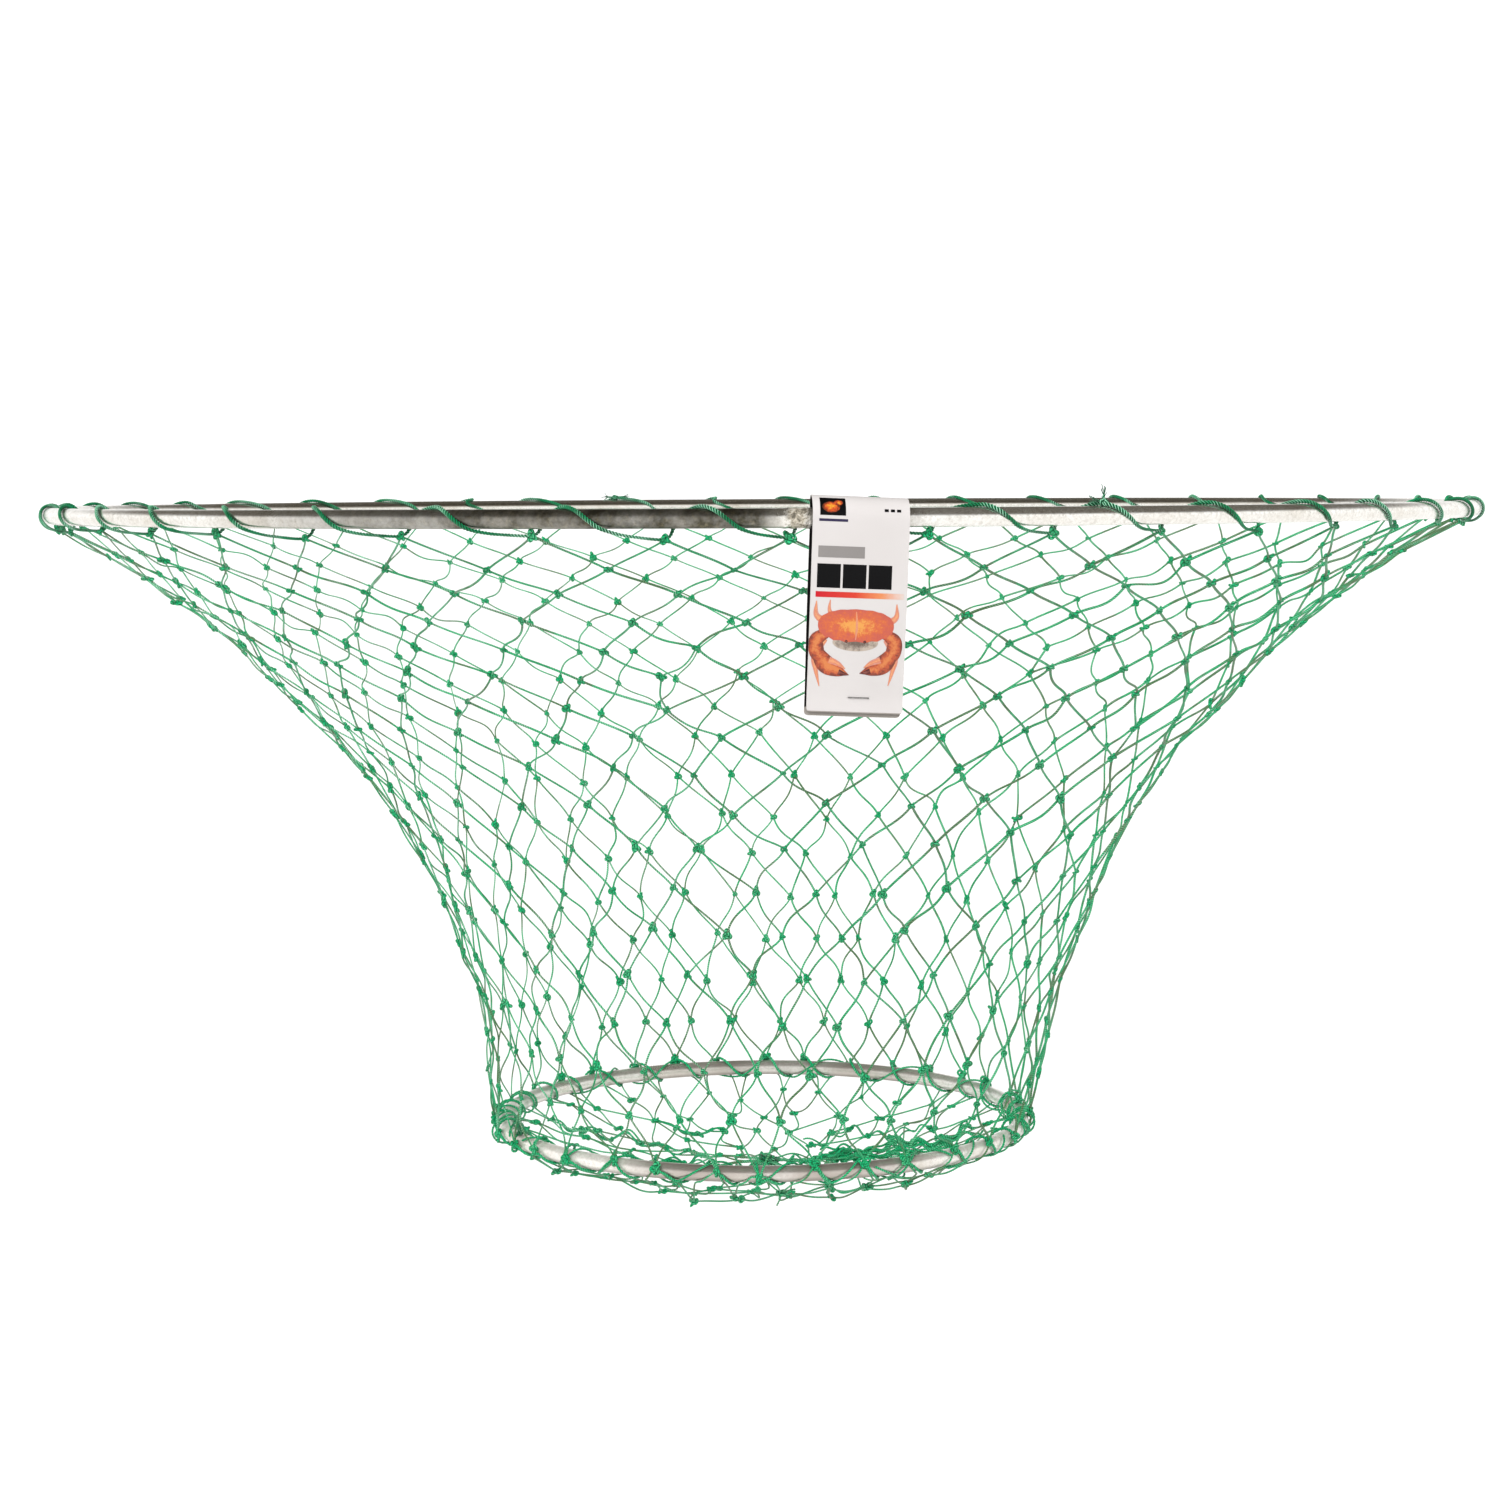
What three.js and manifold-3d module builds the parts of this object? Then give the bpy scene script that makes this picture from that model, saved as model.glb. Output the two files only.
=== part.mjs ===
// A folding crab trap: a wide steel hoop, a small steel hoop that hangs below it, and knotted twine
// netting between the two. Millimetres, +Z up. The origin is the centre of the wide hoop's plane, which is
// where the trap is held. Ring angles are counted from the front (-Y) towards +X.

import * as THREE from "three";
import { mergeVertices } from "three/addons/utils/BufferGeometryUtils.js";
import Module from "manifold-3d";

// Driving dimensions
const HEAD_RADIUS = 402; // wide hoop, centre of the rod
const FOOT_RADIUS = 151.5; // small hoop, centre of the rod
const HOOP_DROP = 356; // distance between the two hoops' planes when the net hangs taut
const ROD_RADIUS = 4.5; // both hoops are bent from 9 mm rod
const WELD_RADIUS = 4.75; // lump left by the butt weld that closes a hoop
const WELD_LENGTH = 18;
const WELD_SHOULDER = 0.9; // the lump runs out inside the rod, at this share of the rod's radius
const HEAD_WELD_ANGLE = 2.2; // degrees
const FOOT_WELD_ANGLE = 97;

const HEAD_WRAPS = 42; // turns of cord round the wide hoop, one for each mesh of the net's first row
const HEAD_CORD_RADIUS = 1.05;
const HEAD_KNOT_ANGLE = 1.8; // degrees, where one wrap of the head lashing picks up its mesh
const HEAD_JOINS = [3, 23]; // wraps at which one length of head lashing is tied to the next
const HEAD_TIE = { radius: 2.2, tail: 6 };
const FOOT_WRAPS = 34;
const FOOT_START_ANGLE = 0; // degrees, where the foot lashing's first wrap comes over the rod
const FOOT_CORD_RADIUS = 0.6;
const FOOT_JOIN = 27; // wrap at which the foot lashing's two ends are tied
const FOOT_TIE = { radius: 1.5, tail: 4 };
const TIE_TAPER = [0.55, 0.4]; // a tie's tail at its tip and at its root, as shares of the knot's radius
const CORD_CLEARANCE = 1.3; // between a rod and a cord's corners, so that its straight steps stay clear too

const NET_TOP = -15.5; // where the netting's solid begins, under the head lashing
const NET_BOTTOM = -348;
const NET_TOP_RADIUS = 391.5; // outside of the netting's solid
const NET_BOTTOM_RADIUS = 161;
const NET_FLARE = 2.15; // exponent of the wall's hollow curve: 1 would be a straight cone
const NET_THICKNESS = 1.4;
const NET_BANDS = 6; // the wall folds between these bands, which nest like a collapsing cup
const NEST_STEP = 1.9; // a band's top is this much narrower than the foot of the band above
const NEST_GAP = 0.4;

const FLOOR_RADIUS = 150;
const FLOOR_EDGE_Z = -364.8;
const FLOOR_SAG = 21; // how far the floor's lowest ring hangs below its edge
const FLOOR_LOW_RADIUS = 82;
const FLOOR_CENTRE_RISE = 7; // the gather is pulled up a little in the middle of the sag
const FLOOR_HOLE = 9; // gathered by the drawstring
const FLOOR_RINGS = 3; // steps of the floor's profile on each side of its lowest ring

const DRAWSTRING_RADIUS = 1.3; // of the cord itself
const DRAWSTRING_KNOT_RADIUS = 4;
const DRAWSTRING_KNOT_PLACE = [4, -2, -3.5]; // from the gathered hole's centre
const DRAWSTRING_TAILS = [
  { lean: -48, length: 12 }, // degrees from straight down, and towards +X when negative
  { lean: 48, length: 9 },
];
const TAIL_TIP = 0.8; // a cut tail's tip, as a share of the cord's radius

const CARD_ANGLE = 6.3; // degrees
const CARD_WIDTH = 44.6;
const CARD_HEIGHT = 97.3;
const CARD_THICKNESS = 0.6;
const CARD_FOLD_RADIUS = 9; // outside of the fold over the rod and its lashing
const CARD_FOLD_Z = 0.6;
const CARD_FOOT_GAP = 1; // between the two leaves where the staple holds them
const CARD_TAB = 11; // height of the foot, where the leaves run side by side
const STAPLE_RISE = 6.8; // above the card's lower edge
const STAPLE_LENGTH = 11;
const STAPLE_WIRE = 0.6;
const STAPLE_TIP = 4; // length of a clinched tip
const STAPLE_PLAY = 0.3; // between the wire and the board

// Fineness
const HEAD_STEPS = 96;
const FOOT_STEPS = 64;
const ROD_SIDES = 10;
const NET_STEPS = 40;
const CORD_SIDES = 5;

const UP = new THREE.Vector3(0, 0, 1);
const wasm = await Module();
wasm.setup();

function material(color, roughness, metalness) {
  return new THREE.MeshStandardMaterial({ color, roughness, metalness });
}
const galvanised = material(0x97928a, 0.42, 0.9);
const netting = material(0x1f8f57, 0.7, 0);
const cordage = material(0x0f6b46, 0.7, 0);
const board = material(0xece9e6, 0.6, 0);
const wire = material(0x7d7d7d, 0.35, 0.9);

const trap = new THREE.Group();

function add(name, geometry, surface, parent = trap) {
  const mesh = new THREE.Mesh(geometry, surface);
  mesh.name = name;
  parent.add(mesh);
  return mesh;
}

// Directions and places on a hoop
const outward = (degrees) => {
  const a = THREE.MathUtils.degToRad(degrees);
  return new THREE.Vector3(Math.sin(a), -Math.cos(a), 0);
};
const along = (degrees) => new THREE.Vector3().crossVectors(UP, outward(degrees));
const onHoop = (hoop, degrees) => outward(degrees).multiplyScalar(hoop.radius).setZ(hoop.z);

const headHoop = { radius: HEAD_RADIUS, z: 0, steps: HEAD_STEPS };
const footHoop = { radius: FOOT_RADIUS, z: -HOOP_DROP, steps: FOOT_STEPS };

// A point beside a hoop's rod: turn is the angle round the rod, 0 outside, 90 on top, 180 inside.
function besideRod(hoop, degrees, turn, distance) {
  const t = THREE.MathUtils.degToRad(turn);
  return onHoop(hoop, degrees)
    .addScaledVector(outward(degrees), distance * Math.cos(t))
    .addScaledVector(UP, distance * Math.sin(t));
}

// Places something built along +X, with +Z up, at a point of the hoop, facing out.
function placedOnHoop(geometry, point, degrees) {
  const frame = new THREE.Matrix4().makeBasis(along(degrees), outward(degrees).negate(), UP);
  return geometry.applyMatrix4(frame).translate(point.x, point.y, point.z);
}

// Joining closed shapes into one solid
function solid(geometry) {
  const bare = geometry.clone().deleteAttribute("normal").deleteAttribute("uv");
  const merged = mergeVertices(bare, 1e-4);
  return new wasm.Manifold(
    new wasm.Mesh({
      numProp: 3,
      vertProperties: merged.attributes.position.array,
      triVerts: new Uint32Array(merged.index.array),
    }),
  );
}

function geometryOf(manifold) {
  const mesh = manifold.getMesh();
  const geometry = new THREE.BufferGeometry();
  geometry.setAttribute("position", new THREE.BufferAttribute(mesh.vertProperties, 3));
  geometry.setIndex(new THREE.BufferAttribute(mesh.triVerts, 1));
  geometry.computeVertexNormals();
  return geometry;
}

const joined = (...geometries) => geometryOf(geometries.map(solid).reduce((a, b) => a.add(b)));

// The hoops: a ring of rod with the lump of its butt weld
function hoopGeometry(hoop, weldAngle) {
  const ring = new THREE.TorusGeometry(hoop.radius, ROD_RADIUS, ROD_SIDES, hoop.steps);
  ring.translate(0, 0, hoop.z);
  const barrel = [
    new THREE.Vector2(0, -WELD_LENGTH / 2),
    new THREE.Vector2(ROD_RADIUS * WELD_SHOULDER, -WELD_LENGTH / 2),
    new THREE.Vector2(WELD_RADIUS, -WELD_LENGTH / 5),
    new THREE.Vector2(WELD_RADIUS, WELD_LENGTH / 5),
    new THREE.Vector2(ROD_RADIUS * WELD_SHOULDER, WELD_LENGTH / 2),
    new THREE.Vector2(0, WELD_LENGTH / 2),
  ];
  const lump = new THREE.LatheGeometry(barrel, ROD_SIDES).rotateZ(-Math.PI / 2);
  return joined(ring, placedOnHoop(lump, onHoop(hoop, weldAngle), weldAngle));
}

// One wrap of lashing, as [share of the pitch, angle round the rod]. It comes over the top of the rod,
// crosses the outside, runs along below to the mesh that it picks up, and goes up behind the rod.
const WRAP = [
  [0, 90],
  [0.11, 40],
  [0.21, -10],
  [0.32, -58],
  [0.55, -84],
  [0.8, -92],
  [0.87, -150],
  [0.94, -210],
];

const PICK_UP = 0.8; // share of the pitch at which a wrap picks up its mesh

class Lashing extends THREE.Curve {
  constructor(hoop, wraps, startAngle, distance, from, to) {
    super();
    Object.assign(this, { hoop, wraps, startAngle, distance, from, to });
  }
  getPoint(t, target = new THREE.Vector3()) {
    const steps = (this.from + t * (this.to - this.from)) * WRAP.length;
    const whole = Math.min(Math.floor(steps), Math.ceil(this.to * WRAP.length) - 1);
    const [shareA, turnA] = Lashing.corner(whole);
    const [shareB, turnB] = Lashing.corner(whole + 1);
    const share = THREE.MathUtils.lerp(shareA, shareB, steps - whole);
    const turn = THREE.MathUtils.lerp(turnA, turnB, steps - whole);
    const degrees = this.startAngle + (share * 360) / this.wraps;
    return target.copy(besideRod(this.hoop, degrees, turn, this.distance));
  }
  getPointAt(t, target) {
    return this.getPoint(t, target);
  }
  getTangentAt(t, target) {
    return this.getTangent(t, target);
  }
  static corner(step) {
    const wrap = Math.floor(step / WRAP.length);
    const [share, turn] = WRAP[step - wrap * WRAP.length];
    return [wrap + share, turn - 360 * wrap];
  }
}

function cordSection(radius) {
  const section = new THREE.Shape();
  for (let i = 0; i < CORD_SIDES; i++) {
    const a = (i * 2 * Math.PI) / CORD_SIDES;
    if (i === 0) section.moveTo(radius, 0);
    else section.lineTo(radius * Math.cos(a), radius * Math.sin(a));
  }
  section.closePath();
  return section;
}

function lashingGeometry(hoop, wraps, startAngle, cordRadius, from, to) {
  const distance = ROD_RADIUS + cordRadius + CORD_CLEARANCE;
  const route = new Lashing(hoop, wraps, startAngle, distance, from, to);
  const steps = Math.round((to - from) * WRAP.length);
  const laid = { steps, bevelEnabled: false, extrudePath: route };
  return new THREE.ExtrudeGeometry(cordSection(cordRadius), laid);
}

// A knot with its cut tail, sitting on top of the rod where two ends of lashing are tied
function tieGeometry(hoop, degrees, { radius, tail }) {
  const centre = besideRod(hoop, degrees, 90, ROD_RADIUS + radius + NEST_GAP);
  const knot = new THREE.SphereGeometry(radius, 8, 6).rotateX(Math.PI / 2);
  const [tip, base] = TIE_TAPER.map((share) => share * radius);
  const tuft = new THREE.CylinderGeometry(tip, base, tail, 6).rotateX(Math.PI / 2);
  tuft.translate(0, 0, tail / 2);
  return placedOnHoop(joined(knot, tuft), centre, degrees);
}

// The netting's wall
function wallRadius(z) {
  const down = (NET_TOP - z) / (NET_TOP - NET_BOTTOM);
  const flare = Math.pow(Math.max(0, 1 - down), NET_FLARE);
  return NET_BOTTOM_RADIUS + (NET_TOP_RADIUS - NET_BOTTOM_RADIUS) * flare;
}

function bandGeometry(band) {
  const height = (NET_TOP - NET_BOTTOM) / NET_BANDS;
  const top = NET_TOP - band * height;
  const foot = top - height + NEST_GAP;
  const profile = [foot, (top + foot) / 2, top].map((z) => {
    const step = band === 0 ? 0 : (NEST_STEP * (z - foot)) / (top - foot);
    return new THREE.Vector2(wallRadius(z) - step, z);
  });
  const inside = profile.map((p) => new THREE.Vector2(p.x - NET_THICKNESS, p.y)).reverse();
  return revolved([...profile, ...inside, profile[0].clone()]);
}

// A closed profile of (radius, z) points turned about the Z axis
function revolved(profile) {
  return new THREE.LatheGeometry(profile, NET_STEPS).rotateX(Math.PI / 2);
}

// The netting's floor: it leaves the small hoop's underside, sags, and rises a little to the drawstring
function floorHeight(radius) {
  if (radius > FLOOR_LOW_RADIUS) {
    const out = (radius - FLOOR_LOW_RADIUS) / (FLOOR_RADIUS - FLOOR_LOW_RADIUS);
    return FLOOR_EDGE_Z - FLOOR_SAG * (1 - out * out);
  }
  const inward = 1 - radius / FLOOR_LOW_RADIUS;
  return FLOOR_EDGE_Z - FLOOR_SAG + FLOOR_CENTRE_RISE * inward * inward;
}

function floorGeometry() {
  const steps = Array.from({ length: FLOOR_RINGS }, (_, i) => i / FLOOR_RINGS);
  const radii = [
    ...steps.map((t) => THREE.MathUtils.lerp(FLOOR_HOLE, FLOOR_LOW_RADIUS, t)),
    ...steps.map((t) => THREE.MathUtils.lerp(FLOOR_LOW_RADIUS, FLOOR_RADIUS, t)),
    FLOOR_RADIUS,
  ];
  const upper = radii.map((r) => new THREE.Vector2(r, floorHeight(r))).reverse();
  const lower = radii.map((r) => new THREE.Vector2(r, floorHeight(r) - NET_THICKNESS));
  return revolved([...lower, ...upper, lower[0].clone()]);
}

// The drawstring that gathers the floor: a ring of cord, its knot below, and two cut tails
function drawstringGeometry() {
  const z = floorHeight(FLOOR_HOLE) - NET_THICKNESS / 2;
  const ringRadius = FLOOR_HOLE - DRAWSTRING_RADIUS - NET_THICKNESS;
  const ring = new THREE.TorusGeometry(ringRadius, DRAWSTRING_RADIUS, 6, 20).translate(0, 0, z);
  const atKnot = (geometry) => geometry.translate(...DRAWSTRING_KNOT_PLACE).translate(0, 0, z);
  const knot = atKnot(new THREE.SphereGeometry(DRAWSTRING_KNOT_RADIUS, 8, 6));
  const tails = DRAWSTRING_TAILS.map(({ lean, length }) => {
    const tip = DRAWSTRING_RADIUS * TAIL_TIP;
    const tail = new THREE.CylinderGeometry(DRAWSTRING_RADIUS, tip, length, 6).translate(0, -length / 2, 0);
    return atKnot(tail.rotateX(Math.PI / 2).rotateY(THREE.MathUtils.degToRad(lean)));
  });
  return joined(ring, knot, ...tails);
}

// The header card: one leaf of board folded over the rod, its two sides closing towards the staple
function cardGeometry() {
  const foot = CARD_FOLD_Z + CARD_FOLD_RADIUS - CARD_HEIGHT;
  const inner = CARD_FOLD_RADIUS - CARD_THICKNESS;
  const tabTop = foot + CARD_TAB;
  const footInner = CARD_FOOT_GAP / 2;
  const outline = new THREE.Shape();
  outline.moveTo(footInner + CARD_THICKNESS, foot);
  outline.lineTo(footInner + CARD_THICKNESS, tabTop);
  outline.lineTo(CARD_FOLD_RADIUS, CARD_FOLD_Z);
  outline.absarc(0, CARD_FOLD_Z, CARD_FOLD_RADIUS, 0, Math.PI, false);
  outline.lineTo(-footInner - CARD_THICKNESS, tabTop);
  outline.lineTo(-footInner - CARD_THICKNESS, foot);
  outline.lineTo(-footInner, foot);
  outline.lineTo(-footInner, tabTop);
  outline.lineTo(-inner, CARD_FOLD_Z);
  outline.absarc(0, CARD_FOLD_Z, inner, Math.PI, 0, true);
  outline.lineTo(footInner, tabTop);
  outline.lineTo(footInner, foot);
  outline.closePath();
  const leaf = { depth: CARD_WIDTH, bevelEnabled: false, curveSegments: 8 };
  const card = new THREE.ExtrudeGeometry(outline, leaf);
  card.translate(0, 0, -CARD_WIDTH / 2);
  // the outline's x is outward and its y is up
  const frame = new THREE.Matrix4().makeBasis(outward(CARD_ANGLE), UP, along(CARD_ANGLE).negate());
  const hinge = onHoop(headHoop, CARD_ANGLE);
  return card.applyMatrix4(frame).translate(hinge.x, hinge.y, hinge.z);
}

// The staple: a crown along the card's front leaf, two legs through both leaves, and their clinched tips
// behind
const stapleDepth = CARD_FOOT_GAP / 2 + CARD_THICKNESS + STAPLE_WIRE / 2 + STAPLE_PLAY;
const stapleZ = CARD_FOLD_Z + CARD_FOLD_RADIUS - CARD_HEIGHT + STAPLE_RISE;
const stapleLegX = (STAPLE_LENGTH - STAPLE_WIRE) / 2;
const staplePlace = onHoop(headHoop, CARD_ANGLE).setZ(stapleZ);
const stapled = (geometry) => placedOnHoop(geometry, staplePlace, CARD_ANGLE);

function stapleLegs(thickness, depth) {
  return [-1, 1].map((side) => {
    const leg = new THREE.BoxGeometry(thickness, depth, thickness);
    return leg.translate(side * stapleLegX, 0, 0);
  });
}

function stapleGeometry() {
  const crown = new THREE.BoxGeometry(STAPLE_LENGTH, STAPLE_WIRE, STAPLE_WIRE);
  crown.translate(0, -stapleDepth, 0);
  const tips = [-1, 1].map((side) => {
    const tip = new THREE.BoxGeometry(STAPLE_TIP, STAPLE_WIRE, STAPLE_WIRE);
    return tip.translate(side * (STAPLE_LENGTH - STAPLE_TIP) / 2, stapleDepth, 0);
  });
  const legs = stapleLegs(STAPLE_WIRE, 2 * stapleDepth + STAPLE_WIRE);
  return stapled(joined(crown, ...legs, ...tips));
}

function piercedCardGeometry() {
  const punches = stapleLegs(STAPLE_WIRE + 2 * STAPLE_PLAY, 4 * stapleDepth);
  const holes = punches.map((punch) => solid(stapled(punch)));
  return geometryOf(holes.reduce((card, hole) => card.subtract(hole), solid(cardGeometry())));
}

// Assembly
add("upper_ring", hoopGeometry(headHoop, HEAD_WELD_ANGLE), galvanised);
add("lower_ring", hoopGeometry(footHoop, FOOT_WELD_ANGLE), galvanised);

const ONE_STEP = 1 / WRAP.length; // a length of cord starts and ends one step of its wrap away from the tie
const headStart = HEAD_KNOT_ANGLE - (PICK_UP * 360) / HEAD_WRAPS;
const headWrapAngle = (wrap) => headStart + (wrap * 360) / HEAD_WRAPS;
const [firstJoin, secondJoin] = HEAD_JOINS;
const headLengths = [
  [firstJoin, secondJoin],
  [secondJoin, firstJoin + HEAD_WRAPS],
];
headLengths.forEach(([from, to], i) => {
  const length = lashingGeometry(
    headHoop, HEAD_WRAPS, headStart, HEAD_CORD_RADIUS, from + ONE_STEP, to - ONE_STEP,
  );
  add(`head_lashing_${i + 1}`, length, cordage);
  add(`head_tie_${i + 1}`, tieGeometry(headHoop, headWrapAngle(from), HEAD_TIE), cordage);
});

const [footFrom, footTo] = [FOOT_JOIN + ONE_STEP, FOOT_JOIN + FOOT_WRAPS - ONE_STEP];
const footLashing = lashingGeometry(
  footHoop, FOOT_WRAPS, FOOT_START_ANGLE, FOOT_CORD_RADIUS, footFrom, footTo,
);
const footTieAngle = FOOT_START_ANGLE + (FOOT_JOIN * 360) / FOOT_WRAPS;
add("foot_lashing", footLashing, cordage);
add("foot_tie", tieGeometry(footHoop, footTieAngle, FOOT_TIE), cordage);

for (let band = 0; band < NET_BANDS; band++) add(`net_wall_${band + 1}`, bandGeometry(band), netting);
add("net_floor", floorGeometry(), netting);
add("drawstring", drawstringGeometry(), cordage);
add("header_card", piercedCardGeometry(), board);
add("card_staple", stapleGeometry(), wire);

export default trap;
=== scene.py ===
"""Folding crab trap: looks. Lengths are written in millimetres and turned to metres as meshes are made.
Angles round a hoop are counted from the front (-Y) towards +X, as in part.mjs."""

import math

import bpy
import numpy as np
from mathutils import Matrix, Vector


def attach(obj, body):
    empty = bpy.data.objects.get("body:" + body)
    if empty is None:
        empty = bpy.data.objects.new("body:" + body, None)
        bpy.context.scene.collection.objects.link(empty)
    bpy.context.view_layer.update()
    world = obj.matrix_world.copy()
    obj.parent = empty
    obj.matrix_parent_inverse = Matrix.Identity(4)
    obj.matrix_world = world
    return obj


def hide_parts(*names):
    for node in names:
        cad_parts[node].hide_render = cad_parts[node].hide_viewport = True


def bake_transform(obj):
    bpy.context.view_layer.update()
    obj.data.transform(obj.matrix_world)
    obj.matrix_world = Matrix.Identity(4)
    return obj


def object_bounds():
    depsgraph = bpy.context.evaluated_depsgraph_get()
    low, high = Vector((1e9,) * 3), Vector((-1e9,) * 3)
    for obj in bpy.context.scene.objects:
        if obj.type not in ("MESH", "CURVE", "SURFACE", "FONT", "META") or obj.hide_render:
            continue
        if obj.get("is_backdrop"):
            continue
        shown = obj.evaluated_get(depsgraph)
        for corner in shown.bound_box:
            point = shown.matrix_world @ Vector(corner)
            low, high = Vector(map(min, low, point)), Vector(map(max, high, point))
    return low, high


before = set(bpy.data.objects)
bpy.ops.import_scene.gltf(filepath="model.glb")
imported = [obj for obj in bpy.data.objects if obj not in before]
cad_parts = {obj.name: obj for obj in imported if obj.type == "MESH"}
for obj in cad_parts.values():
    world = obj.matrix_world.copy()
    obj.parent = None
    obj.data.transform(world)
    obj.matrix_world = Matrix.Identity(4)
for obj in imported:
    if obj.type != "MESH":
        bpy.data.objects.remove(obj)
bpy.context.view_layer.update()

MM = 0.001
rng = np.random.default_rng(20)

HEAD_RADIUS = 402.0
FOOT_RADIUS = 151.5
HOOP_DROP = 356.0
ROD_RADIUS = 4.5
HEAD_WRAPS = 42
FOOT_WRAPS = 34
HEAD_KNOT_ANGLE = 1.8
NET_TOP = -15.5
NET_BOTTOM = -348.0
NET_BANDS = 6
CARD_ANGLE = 6.3
CARD_WIDTH = 43.8
CARD_FOOT = -87.9
BACK_LONGER = 1.7  # how far the back leaf reaches below the front one
BAR = 36.0  # length of one bar of the netting, knot to knot
TWINE = 0.5  # radius of the netting's twine
LASHING_PITCH = 4.6  # length of one turn of the lashing cord's twist

UP = np.array([0.0, 0.0, 1.0])


# ---- Camera ----
camera = bpy.data.objects.new("camera", bpy.data.cameras.new("camera"))
camera.data.sensor_width = 36
camera.data.lens = 73.35
camera.data.clip_end = 200
camera.location = (-0.0064, -1.776, 0.0158)
aim = Matrix.Rotation(math.radians(90 - 4.993), 3, "X") @ Matrix.Rotation(math.radians(-0.32), 3, "Z")
camera.rotation_euler = aim.to_euler()
bpy.context.collection.objects.link(camera)
bpy.context.scene.camera = camera


# ---- Small geometry tools ----
def unit(v):
    return v / np.maximum(np.linalg.norm(v, axis=-1, keepdims=True), 1e-9)


def outward(degrees):
    a = np.radians(degrees)
    return np.stack([np.sin(a), -np.cos(a), 0 * a], -1)


def along(degrees):
    a = np.radians(degrees)
    return np.stack([np.cos(a), np.sin(a), 0 * a], -1)


def beside_rod(radius, height, degrees, turn, distance):
    """Points beside a hoop's rod. Turn is the angle round the rod: 0 outside, 90 on top, 180 inside."""
    t = np.radians(turn)
    out = outward(degrees) * (radius + distance * np.cos(t))[..., None]
    return out + UP * (height + distance * np.sin(t))[..., None]


def by_head(degrees, turn, distance):
    return beside_rod(HEAD_RADIUS, 0.0, degrees, turn, distance)


def by_foot(degrees, turn, distance):
    return beside_rod(FOOT_RADIUS, -HOOP_DROP, degrees, turn, distance)


def catmull(points, per_span):
    """A smooth curve through the points, per_span samples for each span, the last point included."""
    p = np.asarray(points, float)
    p = np.vstack([2 * p[0] - p[1], p, 2 * p[-1] - p[-2]])
    t = (np.arange(per_span) / per_span)[:, None]
    a, b, c, d = (p[i : len(p) - 3 + i, None] for i in range(4))
    spans = 0.5 * (2 * b + (c - a) * t + (2 * a - 5 * b + 4 * c - d) * t**2 + (3 * b - a - 3 * c + d) * t**3)
    return np.vstack([*spans, p[-2:-1]])


def resample(points, count):
    """The same curve with evenly spaced points."""
    d = np.r_[0, np.cumsum(np.linalg.norm(np.diff(points, axis=0), axis=1))]
    at = np.linspace(0, d[-1], count)
    return np.stack([np.interp(at, d, points[:, k]) for k in range(points.shape[1])], -1)


def length_of(points):
    return float(np.linalg.norm(np.diff(points, axis=0), axis=1).sum())


class Shape:
    """Vertices, quads and triangles with a UV for each corner, gathered before a mesh is made."""

    def __init__(self):
        self.points, self.faces, self.uvs, self.slots = [], [], [], []
        self.count = 0

    def add(self, points, faces, uv=None, slot=0):
        points, faces = np.asarray(points, float).reshape(-1, 3), np.asarray(faces)
        self.points.append(points)
        self.faces.append(faces + self.count)
        self.uvs.append(np.zeros((faces.size, 2)) if uv is None else np.asarray(uv, float).reshape(-1, 2))
        self.slots.append(np.full(len(faces), slot))
        self.count += len(points)

    def mesh_object(self, name, materials):
        sizes = np.concatenate([np.full(len(f), f.shape[1]) for f in self.faces])
        loops = np.concatenate([f.ravel() for f in self.faces])
        mesh = bpy.data.meshes.new(name)
        mesh.vertices.add(self.count)
        mesh.loops.add(len(loops))
        mesh.polygons.add(len(sizes))
        for of, key, values, kind in (
            (mesh.vertices, "co", np.vstack(self.points) * MM, np.float32),
            (mesh.loops, "vertex_index", loops, np.int32),
            (mesh.polygons, "loop_start", np.cumsum(sizes) - sizes, np.int32),
            (mesh.polygons, "loop_total", sizes, np.int32),
            (mesh.polygons, "material_index", np.concatenate(self.slots), np.int32),
            (mesh.polygons, "use_smooth", np.ones(len(sizes)), bool),
        ):
            of.foreach_set(key, values.astype(kind).ravel())
        corners = mesh.uv_layers.new(name="UVMap").data
        corners.foreach_set("uv", np.vstack(self.uvs).astype(np.float32).ravel())
        mesh.update()
        mesh.validate()
        for material in materials:
            mesh.materials.append(material)
        made = bpy.data.objects.new(name, mesh)
        bpy.context.collection.objects.link(made)
        return made

    def piece(self, name, materials, node, body=None):
        """The finished piece, which stands for a CAD node, takes a slot's finish and rides on a body."""
        made = self.mesh_object(name, materials)
        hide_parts(node)
        if body:
            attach(made, body)
        return made


def tube_rings(path, ref, radius, sides, plies=0, depth=0.0, pitch=7.0):
    """Rings of points along many paths at once: path (tubes, n, 3), ref (tubes, n, 3) is any direction that
    isn't along the path. With plies, the section has that many lobes and turns once in each pitch."""
    tangent = unit(np.gradient(path, axis=1))
    normal = unit(ref - (ref * tangent).sum(-1, keepdims=True) * tangent)
    side = np.cross(tangent, normal)
    steps = np.linalg.norm(np.diff(path, axis=1), axis=-1)
    run = np.concatenate([np.zeros((len(path), 1)), np.cumsum(steps, axis=1)], axis=1)
    angle = np.arange(sides) * 2 * np.pi / sides
    size = np.broadcast_to(np.asarray(radius, float), run.shape)[..., None] * np.ones(sides)
    if plies:
        size = size * (1 - depth + depth * np.cos(plies * (angle - run[..., None] * 2 * np.pi / pitch)))
    ring = normal[:, :, None] * np.cos(angle)[:, None] + side[:, :, None] * np.sin(angle)[:, None]
    return path[:, :, None] + ring * size[..., None], run


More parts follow.
